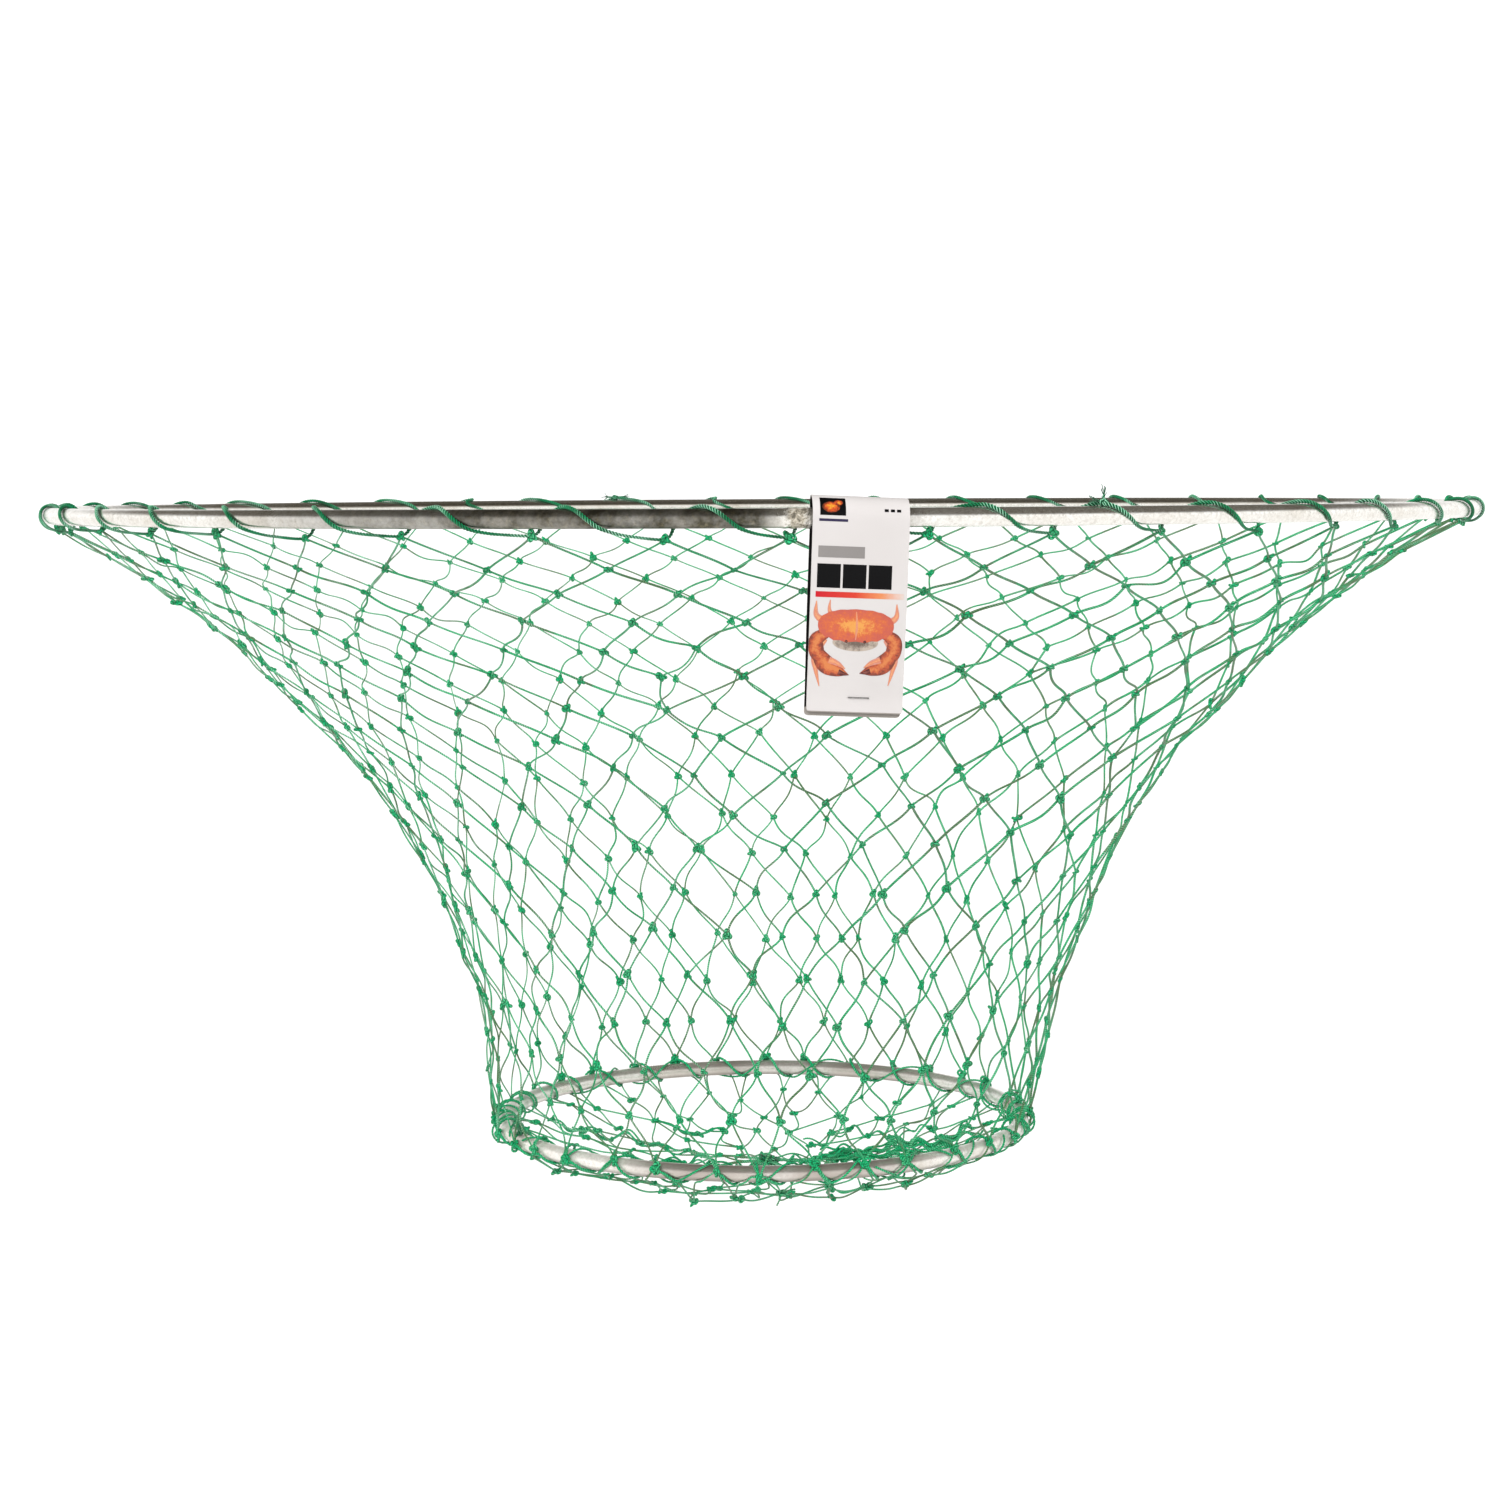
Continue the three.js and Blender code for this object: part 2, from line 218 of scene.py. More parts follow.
def grid_faces(rows, cols):
    """Quads of a grid of points, rows by cols."""
    i, j = np.meshgrid(np.arange(rows - 1), np.arange(cols - 1), indexing="ij")
    return (i * cols + j).reshape(-1, 1) + [0, 1, cols + 1, cols]


def tube_faces(tubes, n, sides, closed=False):
    """Quads (tubes, segments, sides, 4) of the rings that tube_rings makes."""
    segments = n if closed else n - 1
    t, i, k = np.meshgrid(np.arange(tubes), np.arange(segments), np.arange(sides), indexing="ij")
    j, m = (i + 1) % n, (k + 1) % sides
    at = lambda ring, corner: (t * n + ring) * sides + corner
    return np.stack([at(i, k), at(i, m), at(j, m), at(j, k)], -1)


def tube_uvs(run, sides, closed=False):
    """Corner UVs to go with tube_faces: u is the run along the tube in millimetres, v goes once round it."""
    tubes, n = run.shape
    if closed:
        run = np.concatenate([run, 2 * run[:, -1:] - run[:, -2:-1]], axis=1)
    u0, u1 = run[:, :-1, None], run[:, 1:, None]
    v0, v1 = np.arange(sides) / sides, (np.arange(sides) + 1) / sides
    u0, u1, v0, v1 = np.broadcast_arrays(u0, u1, v0, v1)
    return np.stack([np.stack(c, -1) for c in ((u0, v0), (u0, v1), (u1, v1), (u1, v0))], -2)


def transported(path):
    """A direction square to the path that turns as little as possible along it."""
    tangent = unit(np.gradient(path, axis=0))
    ref = np.zeros_like(path)
    first = np.cross(tangent[0], UP)
    ref[0] = unit(first if np.linalg.norm(first) > 0.1 else np.cross(tangent[0], [1.0, 0, 0]))
    for i in range(1, len(path)):
        ref[i] = unit(ref[i - 1] - (ref[i - 1] @ tangent[i]) * tangent[i])
    return ref


def add_tube(shape, path, radius, sides, slot=0, caps=True, **twist):
    """One tube with rounded ends."""
    path = np.asarray(path, float)
    radius = np.broadcast_to(np.asarray(radius, float), (len(path),)).copy()
    if caps:
        start, end = unit(path[0] - path[1]), unit(path[-1] - path[-2])
        path = np.vstack([path[0] + start * radius[0] * 0.5, path, path[-1] + end * radius[-1] * 0.5])
        radius = np.r_[radius[0] * 0.45, radius, radius[-1] * 0.45]
    rings, run = tube_rings(path[None], transported(path)[None], radius[None], sides, **twist)
    n = len(path)
    shape.add(rings, tube_faces(1, n, sides).reshape(-1, 4), tube_uvs(run, sides), slot)
    if caps:
        ends = [np.arange(sides)[::-1], (n - 1) * sides + np.arange(sides)]
        shape.add(rings.reshape(-1, 3), np.array(ends), None, slot)


def pack_to(shape, rings, run, sides, keep, slot=0):
    """Adds only some segments of many tubes: keep is (tubes, segments)."""
    tubes, n = run.shape
    faces = tube_faces(tubes, n, sides)[keep].reshape(-1, 4)
    uvs = tube_uvs(run, sides)[keep].reshape(-1, 2)
    used, index = np.unique(faces, return_inverse=True)
    shape.add(rings.reshape(-1, 3)[used], index.reshape(-1, 4), uvs, slot)


# ---- Materials ----
def rgb(r, g, b):
    """A display colour (0 to 255) as linear light."""
    c = np.array([r, g, b]) / 255
    c = np.where(c <= 0.04045, c / 12.92, ((c + 0.055) / 1.055) ** 2.4)
    return tuple(float(x) for x in c)


class Finish:
    """A shader's node tree, with short ways to add nodes to it."""

    def __init__(self, name, owner=None, shader="Principled BSDF", **values):
        self.owner = owner or bpy.data.materials.new(name)
        self.owner.use_nodes = True
        self.tree = self.owner.node_tree
        self.shader = self.tree.nodes[shader]
        self.set(**values)

    def plug(self, node, values):
        """Sets inputs to numbers, display colours or other nodes' outputs."""
        for key, value in values.items():
            socket = node.inputs[key]
            if isinstance(value, bpy.types.NodeSocket):
                self.tree.links.new(value, socket)
            else:
                socket.default_value = (*rgb(*value), 1) if socket.type == "RGBA" else value

    def set(self, **values):
        self.plug(self.shader, {key.replace("_", " "): value for key, value in values.items()})
        return self.owner

    def node(self, kind, values, **settings):
        node = self.tree.nodes.new("ShaderNode" + kind)
        for key, value in settings.items():
            setattr(node, key, value)
        self.plug(node, values)
        return node

    def place(self, kind="Object"):
        return self.node("TexCoord", {}).outputs[kind]

    def uv(self):
        return self.node("UVMap", {}, uv_map="UVMap").outputs[0]

    def split(self, vector):
        return self.node("SeparateXYZ", {0: vector}).outputs

    def math(self, operation, a, b=0.0):
        return self.node("Math", {0: a, 1: b}, operation=operation).outputs[0]

    def add(self, a, b):
        return self.math("ADD", a, b)

    def times(self, first, *others):
        for other in others:
            first = self.math("MULTIPLY", first, other)
        return first

    def noise(self, scale, detail=3.0, roughness=0.6):
        values = {"Vector": self.place(), "Scale": scale, "Detail": detail, "Roughness": roughness}
        return self.node("TexNoise", values).outputs["Fac"]

    def ramp(self, value, *stops, tone=rgb):
        """A colour that runs through stops of (position, red, green, blue)."""
        node = self.node("ValToRGB", {0: value})
        elements = node.color_ramp.elements
        while len(elements) < len(stops):
            elements.new(0.5)
        for element, (at, *colour) in zip(elements, stops):
            element.position = at
            element.color = (*tone(*colour), 1)
        return node.outputs[0]

    def remap(self, value, low, high, start=0.3, end=0.7):
        """Low where the value is start or less, high where it is end or more, and even steps between."""
        return self.node("MapRange", {0: value, 1: start, 2: end, 3: low, 4: high}).outputs[0]

    def rise(self, value, start, end):
        return self.remap(value, 0.0, 1.0, start, end)

    def fade(self, value, start, end):
        return self.remap(value, 1.0, 0.0, start, end)

    def mix(self, factor, a, b):
        return self.node("Mix", {0: factor, 6: a, 7: b}, data_type="RGBA").outputs[2]

    def bump(self, height, distance, strength, under=None):
        values = {"Height": height, "Distance": distance, "Strength": strength}
        if under:
            values["Normal"] = under
        return self.node("Bump", values).outputs[0]

    def twist(self, pitch, plies):
        """0 in the grooves of a twisted cord and 1 on its strands, from UVs in millimetres along it."""
        run, lap, _ = self.split(self.uv())
        run = self.times(run, 2 * math.pi / pitch * plies)
        lap = self.times(lap, 2 * math.pi * plies)
        return self.rise(self.math("COSINE", self.math("SUBTRACT", lap, run)), -1.0, 1.0)


def cord_finish(name, groove_shade, body, light, dirty, pitch, plies, groove, sheen, glint):
    """Twisted polyethylene cord: painted shade, a dark colour, in the grooves, paler on the strands, fine
    fibre along them.
    Dirty is the share of it that is olive with dirt, and glint is how strongly a painted highlight whitens
    the strands' crests at the left and at the right."""
    f = Finish(name, Specular_IOR_Level=0.35, Sheen_Weight=sheen, Sheen_Roughness=0.4)
    strand, patch = f.twist(pitch, plies), f.noise(90.0)
    tone = f.ramp(patch, (0.3, *body), (0.72, *light))
    if dirty:
        places = f.noise(26.0, 3.0, 0.75)
        tone = f.mix(f.remap(places, 0.0, 0.8, 0.62 - dirty, 0.7 - dirty), tone, (92, 106, 70))
    # painted shade: the grooves between the strands take the dark groove colour
    tone = f.mix(f.fade(strand, 0.0, 0.08 + 0.2 * plies), tone, groove_shade)
    # painted highlight: the strands' crests are whitened in patches, as strongly at the left and at the right
    # as glint says
    glint_share = f.remap(f.split(f.place())[0], *glint, -0.22, 0.02)
    crest = f.rise(strand, 0.4 + 0.14 * plies, 0.96)
    crest = f.times(crest, f.rise(f.noise(50.0, 2.0), 0.45, 0.6))
    tone = f.mix(f.times(crest, glint_share), tone, (190, 240, 214))
    laid = f.bump(strand, groove * MM, 0.9)
    fibres = f.bump(f.noise(2600.0, 2.0), 0.06 * MM, 0.5, laid)
    return f.set(Base_Color=tone, Normal=fibres, Roughness=f.remap(patch, 0.42, 0.62))


twine = cord_finish(
    "net_twine", (0, 64, 38), (2, 144, 84), (66, 188, 128), 0.125, 2.6, 2, 0.16, 0.06, (0.85, 0.3)
)
knot_twine = cord_finish(
    "knot_twine", (0, 62, 38), (0, 144, 86), (16, 176, 112), 0, 2.6, 2, 0.16, 0.05, (0.2, 0.2)
)
lashing = cord_finish(
    "lashing_cord", (0, 14, 8), (0, 92, 52), (4, 144, 90), 0, LASHING_PITCH, 3, 0.24, 0.04, (0.8, 0.8)
)

WELD_ANGLES = {"upper": 2.2, "lower": 97.0}
WELDS = [
    outward(WELD_ANGLES["upper"]) * HEAD_RADIUS,
    outward(WELD_ANGLES["lower"]) * FOOT_RADIUS - UP * HOOP_DROP,
]


def rod_finish():
    """Hot-dip galvanised rod: grey zinc, speckled and grained, with a dull brown stretch, two welds, and
    painted shade and highlights on the hoops.
    """
    f = Finish("galvanised_rod")
    x, y, z = f.split(f.place())
    facing = f.split(f.place("Normal"))[2]
    cloud, speck = f.noise(22.0, 4.0, 0.65), f.noise(900.0, 2.0, 0.7)
    spangle = f.node("TexVoronoi", {"Vector": f.place(), "Scale": 420.0}).outputs["Distance"]
    zinc = f.ramp(cloud, (0.28, 220, 213, 202), (0.48, 240, 237, 231), (0.72, 249, 248, 245))
    spots = f.ramp(speck, (0.6, 0, 0, 0), (0.72, 255, 255, 255))
    zinc = f.mix(f.times(spots, 0.4), zinc, (150, 140, 120))
    grain = f.remap(f.noise(520.0, 3.0, 0.75), 0.0, 0.38, 0.42, 0.66)
    zinc = f.mix(grain, zinc, (176, 168, 154))
    # the small hoop is a duller zinc in patches, partly its own finish and partly painted shade, with painted
    # highlights at its near sides: brighter zinc and less metal there
    low = f.fade(z, -0.33, -0.3)
    sides = f.remap(f.math("ABSOLUTE", f.add(x, -0.01)), 1.0, 0.2, 0.05, 0.1)
    painted_highlight = f.times(low, f.fade(y, -0.06, -0.02), f.fade(sides, 0.3, 0.8))
    # painted shade: the small hoop's underside is darkened
    under = f.times(low, f.fade(facing, -0.8, -0.3))
    # dull patches in the small hoop's middle, partly its duller zinc and partly painted shade; the zinc left
    # brighter at its sides is a painted highlight
    dull_and_highlight = f.times(low, f.remap(f.noise(16.0), 1.0, 0.5, 0.42, 0.6))
    zinc = f.mix(f.times(dull_and_highlight, sides), zinc, (184, 175, 167))
    zinc = f.mix(f.times(under, 0.85), zinc, (128, 121, 112))
    # the far side of the large hoop is darkened on its upper slope: painted shade
    far = f.remap(y, 0.0, 0.8, 0.15, 0.3)
    slope = f.times(f.rise(facing, 0.0, 0.2), f.remap(facing, 1.0, 0.2, 0.5, 0.9))
    zinc = f.mix(f.times(far, slope), zinc, (132, 125, 108))
    # the stretch to the left of the near weld is dull and brown
    left, right = f.rise(x, -0.27, -0.14), f.fade(x, -0.002, 0.01)
    front = f.fade(y, -0.25, -0.2)
    dull = f.times(left, right, front)
    patchy = f.times(dull, f.remap(f.noise(60.0, 4.0, 0.7), 0.7, 1.0, 0.35, 0.6))
    scale = f.noise(340.0, 4.0, 0.8)
    rust = f.ramp(scale, (0.38, 42, 40, 25), (0.55, 64, 59, 39), (0.7, 108, 100, 72))
    zinc = f.mix(f.times(patchy, 0.94), zinc, rust)
    # heat tint and bare scale beside the weld
    tint = f.times(f.rise(x, 0.021, 0.027), f.fade(x, 0.05, 0.075), front)
    zinc = f.mix(f.times(tint, 0.85), zinc, (84, 76, 52))
    # weld beads: pale zinc paint over lumps, with dark pits
    lumps = f.noise(420.0, 4.0, 0.7)
    masks = []
    for centre in WELDS:
        values = {0: f.place(), 1: tuple(centre * MM)}
        away = f.node("VectorMath", values, operation="DISTANCE").outputs["Value"]
        masks.append(f.fade(f.add(away, f.remap(lumps, -0.0016, 0.0016)), 0.0056, 0.0076))
    on_weld = f.math("MAXIMUM", *masks)
    paint = f.ramp(lumps, (0.42, 78, 70, 52), (0.52, 176, 166, 146), (0.64, 232, 227, 216))
    metallic = f.math("SUBTRACT", f.remap(on_weld, 0.95, 0.45, 0.0, 1.0), f.times(low, 0.13))
    rough = f.add(f.remap(cloud, 0.17, 0.27), f.times(patchy, 0.24))
    rough = f.add(f.add(rough, f.times(on_weld, 0.2)), f.times(dull_and_highlight, 0.12))
    height = f.add(f.times(spangle, 0.5), f.times(speck, 0.6))
    return f.set(
        Base_Color=f.mix(f.times(on_weld, 0.9), zinc, paint),
        # less metal at the small hoop's near sides: painted highlights
        Metallic=f.math("SUBTRACT", metallic, f.times(painted_highlight, 0.32)),
        Roughness=rough,
        Normal=f.bump(f.add(height, f.times(on_weld, lumps, 6.0)), 0.05 * MM, 0.7),
    )


galvanised = rod_finish()


# ---- Rods ----
def rod_piece(side, radius, height, steps):
    """A hoop of round rod, faintly uneven, closed by a lumpy butt weld."""
    sides = 20
    weld = WELD_ANGLES[side]
    degrees = np.arange(steps) * 360 / steps
    # more rings at the weld, where the surface is uneven
    extra = weld + np.linspace(-16, 16, 97) / np.radians(1) / radius
    degrees = np.unique(np.round(np.r_[degrees, extra % 360], 4))
    phi, t = np.meshgrid(degrees, np.arange(sides) * 360 / sides, indexing="ij")
    away = ((phi - weld + 180) % 360 - 180) * np.radians(1) * radius
    waves = sum(np.sin(k * np.radians(phi) + 1.7 * k) for k in (5, 11, 23)) / 3
    lump = np.sin(away * 0.9 + 2 * np.radians(t)) + np.sin(away * 1.7 - 3 * np.radians(t) + 1)
    bead = np.exp(-((away / 7.0) ** 4))
    collar = np.exp(-(((np.abs(away) - 5.5) / 1.6) ** 2))
    r = ROD_RADIUS + 0.03 * waves + bead * (0.12 + 0.1 * lump) + 0.16 * collar
    faces = tube_faces(1, len(degrees), sides, closed=True)[0, :, :, ::-1]
    uv = tube_uvs((degrees * np.radians(1) * radius)[None], sides, closed=True)[0, :, :, ::-1]
    shape = Shape()
    shape.add(beside_rod(radius, height, phi, t, r), faces.reshape(-1, 4), uv)
    shape.piece(f"{side}_rod", [galvanised], f"{side}_ring", f"{side}_hoop")


rod_piece("upper", HEAD_RADIUS, 0.0, 540)
rod_piece("lower", FOOT_RADIUS, -HOOP_DROP, 300)


# ---- Head lashing ----
def head_lead(degrees):
    """How far, in degrees, a wrap crosses the front of the rod before the mesh that it picks up."""
    at_front = 0.5 + 0.5 * np.tanh(4 * np.cos(np.radians(degrees)))
    return 3.1 + at_front * (1.05 - 1.15 * np.tanh(3 * np.sin(np.radians(degrees))))


HEAD_PITCH = 360 / HEAD_WRAPS
PICK_UP = 0.8
# share of the pitch, turn round the rod, distance from its centre, and how far this corner follows the
# lead, the wrap's slack and the netting's pull
HEAD_WRAP = [
    (0.0, 90, 5.55, 1.0, 0.0, 0.0),
    (0.11, 40, 5.6, 1.0, 0.0, 0.0),
    (0.21, -10, 5.6, 1.0, 0.0, 0.0),
    (0.32, -56, 6.0, 0.9, 0.15, 0.0),
    (0.55, -82, 7.6, 0.45, 0.7, 0.6),
    (0.8, -91, 8.7, 0.0, 1.0, 1.0),
    (0.87, -150, 6.3, 0.0, 0.0, 0.5),
    (0.94, -212, 5.65, 0.5, 0.0, 0.0),
]
head_jitter = rng.normal(0, 0.3, HEAD_WRAPS)
head_sway = rng.normal(0, 0.35, HEAD_WRAPS)
head_hang = rng.uniform(-1.6, 1.2, HEAD_WRAPS)  # how tight or slack each wrap is under the rod
head_hang -= 1.5 * np.clip(np.sin(np.radians(HEAD_KNOT_ANGLE + np.arange(HEAD_WRAPS) * HEAD_PITCH)), 0, 1)


def head_knot_angle(wrap):
    wrap = np.asarray(wrap, int)
    return HEAD_KNOT_ANGLE + wrap * HEAD_PITCH + head_jitter[wrap % HEAD_WRAPS]


def head_draw(degrees):
    """How far, in degrees, the netting draws the lowest point of a wrap inwards round the rod."""
    return 8 + 24 * np.abs(np.sin(np.radians(degrees)))


def head_corner(step):
    wrap, k = divmod(step, len(HEAD_WRAP))
    share, turn, distance, led, hung, pulled = HEAD_WRAP[k]
    knot = float(head_knot_angle(wrap))
    distance += head_hang[wrap % HEAD_WRAPS] * hung
    turn -= 360 * wrap + pulled * head_draw(knot)
    shift = (PICK_UP - 0.21) * HEAD_PITCH - head_lead(knot) + head_sway[wrap % HEAD_WRAPS]
    return [knot + (share - PICK_UP) * HEAD_PITCH + led * shift, turn, distance]


def loop_knot(size, wire, rings=44):
    """The centreline of an overhand knot drawn up tight, size across, flat in its own X and Y."""
    t = np.linspace(0, 2 * np.pi, rings, endpoint=False)
    x, y, z = np.sin(t) + 1.7 * np.sin(2 * t), np.cos(t) - 1.7 * np.cos(2 * t), -np.sin(3 * t)
    return np.stack([x * size / 5.4, y * size / 5.4, z * wire], -1)


def about_y(angle):
    """A turn about Y, for points written as rows."""
    c, s = math.cos(angle), math.sin(angle)
    return np.array([[c, 0, s], [0, 1, 0], [-s, 0, c]])


def closed_tube(path, radius, sides):
    """Points, faces and UVs of a tube along a closed path."""
    tangent = unit(np.roll(path, -1, 0) - np.roll(path, 1, 0))
    normal = unit(np.cross(tangent, path - path.mean(0)) + 1e-6)
    side = np.cross(tangent, normal)
    angle = np.arange(sides) * 2 * np.pi / sides
    ring = normal[:, None] * np.cos(angle)[:, None] + side[:, None] * np.sin(angle)[:, None]
    step = np.linalg.norm(np.roll(path, -1, 0) - path, axis=1)
    run = np.r_[0, np.cumsum(step)[:-1]]
    faces = tube_faces(1, len(path), sides, closed=True).reshape(-1, 4)
    points = (path[:, None] + ring * radius).reshape(-1, 3)
    return points, faces, tube_uvs(run[None], sides, True).reshape(-1, 2)


def add_tie(shape, centre, degrees, size, wire, tails, seed):
    """A knot with cut tails whose strands have come apart at the tips."""
    local = np.random.default_rng(seed)
    basis = np.stack([along(degrees), outward(degrees), UP])
    for tilt, scale in ((0.0, 1.0), (1.2, 0.8)):
        path = loop_knot(size * scale, wire) @ about_y(tilt) @ basis + centre
        shape.add(*closed_tube(path, wire, 8))
    for lean, rise, reach in tails:
        tip = np.array([lean, reach, rise])
        path = catmull([(0, 0, 0), tip * 0.45 + [0, 0, rise * 0.12], tip], 8) @ basis + centre
        add_tube(shape, path, np.linspace(wire, wire * 0.85, len(path)), 8, plies=3, depth=0.12, pitch=5)
        for _ in range(12):
            splay = local.normal(0, 1.25, 3) + tip / np.linalg.norm(tip) * local.uniform(1.4, 3.8)
            root = tip * 0.93 + local.normal(0, wire * 0.3, 3)
            hair = catmull([root, root + splay * 0.5 + local.normal(0, 0.2, 3), root + splay], 4)
            add_tube(shape, hair @ basis + centre, 0.17, 5)


HEAD_ENDS = [(3, 23), (23, 3 + HEAD_WRAPS)]  # wraps at whose tops each length is tied to the next
HEAD_TAILS = [[(0.9, 3.6, -0.6), (-3.4, 0.8, 0.8)], [(-6.5, 0.7, 0.6), (6.0, 0.5, -0.4)]]
for number, ((first, last), tails) in enumerate(zip(HEAD_ENDS, HEAD_TAILS), 1):
    corners = [head_corner(step) for step in range(first * len(HEAD_WRAP), last * len(HEAD_WRAP) + 1)]
    fine = catmull(corners, 12)
    route = by_head(fine[:, 0], fine[:, 1], fine[:, 2])
    route = resample(route, int(length_of(route) / 0.5))
    drawn = np.clip((-route[:, 2] - 3.5) / 3.5, 0, 1)  # the cord is drawn thin under the rod
    shape = Shape()
    add_tube(shape, route, 1.14 - 0.32 * drawn, 12, plies=3, depth=0.24, pitch=LASHING_PITCH)
    shape.piece(f"head_cord_{number}", [lashing], f"head_lashing_{number}", "upper_hoop")
    angle = head_corner(first * len(HEAD_WRAP))[0]
    shape = Shape()
    add_tie(shape, by_head(angle + 0.2, 90.0, 6.0), angle, 3.9, 0.8, tails, 40 + number)
    shape.piece(f"head_knot_{number}", [lashing], f"head_tie_{number}", "upper_hoop")


# ---- The netting's layout ----
WALL_POINTS = [
    (399, -11), (378, -23), (355.4, -38.6), (332.3, -56.1), (309.5, -73.6), (284.6, -95.3), (260.5, -118.8),
    (238, -142.7), (209, -187.9), (184.5, -232), (168.8, -272), (161, -316), (158.2, -352),
]
WALL_PROFILE = catmull(WALL_POINTS, 16)
WALL_RUN = np.r_[0, np.cumsum(np.linalg.norm(np.diff(WALL_PROFILE, axis=0), axis=1))]
WALL_ROWS = 17
# the net hangs unevenly: how far its left and right sides lie inside the profile at each height
HANG_HEIGHTS = [
    -352, -340, -326, -312, -285, -270, -256, -240, -228, -214, -195, -172, -150, -100, -88, -75, -60, -47,
    -33, -20, -11,
]
HANG_LEFT = [0, 0.5, -0.8, 2.0, 0.5, 1.5, -0.5, -0.5, 2, 5, 6.5, 6, 4, 4, 5.5, 8, 11, 10.5, 10, 8.5, 5]
HANG_RIGHT = [0.5, 2, -1.5, -3.6, -3.5, -4, -7, -5.5, -5, -2, 0.5, 1, 1.5, 4, 7.5, 10, 13, 13.5, 14, 12, 5]


def on_wall(run, degrees, proud=0.0):
    """A point of the wall: run is the distance down the netting from its first row."""
    radius = np.interp(run, WALL_RUN, WALL_PROFILE[:, 0])
    height = np.interp(run, WALL_RUN, WALL_PROFILE[:, 1])
    side = np.sin(np.radians(degrees))
    left, right = (np.interp(height, HANG_HEIGHTS, hang) for hang in (HANG_LEFT, HANG_RIGHT))
    radius = radius - np.abs(side) * np.where(side < 0, left, right)
    return outward(degrees) * (radius + proud)[..., None] + UP * height[..., None]


def row_runs(counts):
    """Where each row of knots lies: bars of one length, opened to the hoop, hanging slacker lower down."""
    runs = [0.0]
    for row in range(WALL_ROWS):
        radius = np.interp(runs[-1] + 12, WALL_RUN, WALL_PROFILE[:, 0])
        bar = BAR + 3 if row == 0 else BAR
        half = math.pi * radius / counts[row]
        hang = 1 - 0.21 * (row / WALL_ROWS) ** 3
        runs.append(runs[-1] + math.sqrt(bar**2 - min(half, bar * 0.86) ** 2) * hang)
    return np.array(runs) * WALL_RUN[-1] / runs[-1]


def next_row(above, bates):
    """The row of knots below a row, as angles, with the knots above that each one hangs from. A bating, where
    three strands' meshes are knotted as one, takes a mesh out of the row."""
    n, k = len(above), 0
    angles, links = [], []
    while k < n:
        width = 2 if k in bates else 1
        right = above[(k + 1) % n] + (360 if k + 1 >= n else 0)
        angles.append(right if width == 2 else (above[k] + right) / 2)
        links.append([(k + step) % n for step in range(width + 1)])
        k += width
    return np.array(angles), links


# a mesh is taken out of each of the first rows, until the count is the small hoop's
rows, bars = [head_knot_angle(np.arange(HEAD_WRAPS))], []
for row in range(WALL_ROWS):
    n = len(rows[-1])
    angles, links = next_row(rows[-1], [rng.integers(n - 1)] if n > FOOT_WRAPS else [])
    rows.append(angles)
    bars.append(links)
counts = [len(r) for r in rows]
runs = row_runs(counts)
foot_jitter = rng.normal(0, 1.0, FOOT_WRAPS)


def settle(rows, bars, passes):
    """Evens the knots out between their neighbours, with the first and last rows held."""
    last = rows[-1]
    even = last.mean() + (np.arange(len(last)) - (len(last) - 1) / 2) * 360 / len(last)
    phase = (even[0] / (360 / FOOT_WRAPS)) % 1
    rows[-1] = even - phase * 360 / FOOT_WRAPS + foot_jitter[: len(last)]
    near = lambda a, b: b + 360 * np.round((a - b) / 360)
    for _ in range(passes):
        pull = [np.zeros(len(r)) for r in rows]
        seen = [np.zeros(len(r)) for r in rows]
        for r, links in enumerate(bars):
            for k, tops in enumerate(links):
                for j in tops:
                    a, b = rows[r][j], rows[r + 1][k]
                    pull[r][j] += near(a, b)
                    seen[r][j] += 1
                    pull[r + 1][k] += near(b, a)
                    seen[r + 1][k] += 1
        for r in range(1, len(rows) - 1):
            beside = (near(rows[r], np.roll(rows[r], 1)) + near(rows[r], np.roll(rows[r], -1))) / 2
            rows[r] = 0.25 * rows[r] + 0.45 * pull[r] / np.maximum(seen[r], 1) + 0.3 * beside
    return rows


rows = settle(rows, bars, 60)

# uneven work: knots slip a little along the bars, and whole patches of meshes lean one way
knots, knot_runs = [], []
for r, angles in enumerate(rows):
    n = len(angles)
    f = r / WALL_ROWS
    free = math.sin(math.pi * f) ** 0.5 if 0 < r < WALL_ROWS else 0
    a = np.radians(angles)
    lean = 3.6 * np.sin(2 * a + 5 * f) + 2.6 * np.sin(5 * a - 7 * f + 1) + 2.0 * np.sin(9 * a + 11 * f)
    drift = 2.4 * np.sin(3 * a + 4 * f + 2) + 1.8 * np.sin(7 * a - 9 * f)
    radius = np.interp(runs[r], WALL_RUN, WALL_PROFILE[:, 0])
    across = free * (lean + rng.normal(0, 2.2, n))
    down = free * (drift + rng.normal(0, 1.7, n))
    proud = free * rng.normal(0, 1.2, n)
    rows[r] = angles + np.degrees(across / radius)
    knot_runs.append(runs[r] + down)
    knots.append(on_wall(knot_runs[r], rows[r], proud))

knots[0] = by_head(rows[0], -91.0 - head_draw(rows[0]), 8.9 + head_hang)
foot_turn = rng.choice([4, 26, 46, 62], counts[-1]) + rng.normal(0, 12, counts[-1])
knots[-1] = by_foot(rows[-1], foot_turn, 6.6)


# ---- Bars of the wall ----
SEGMENTS = 16
BAR_SIDES = 6


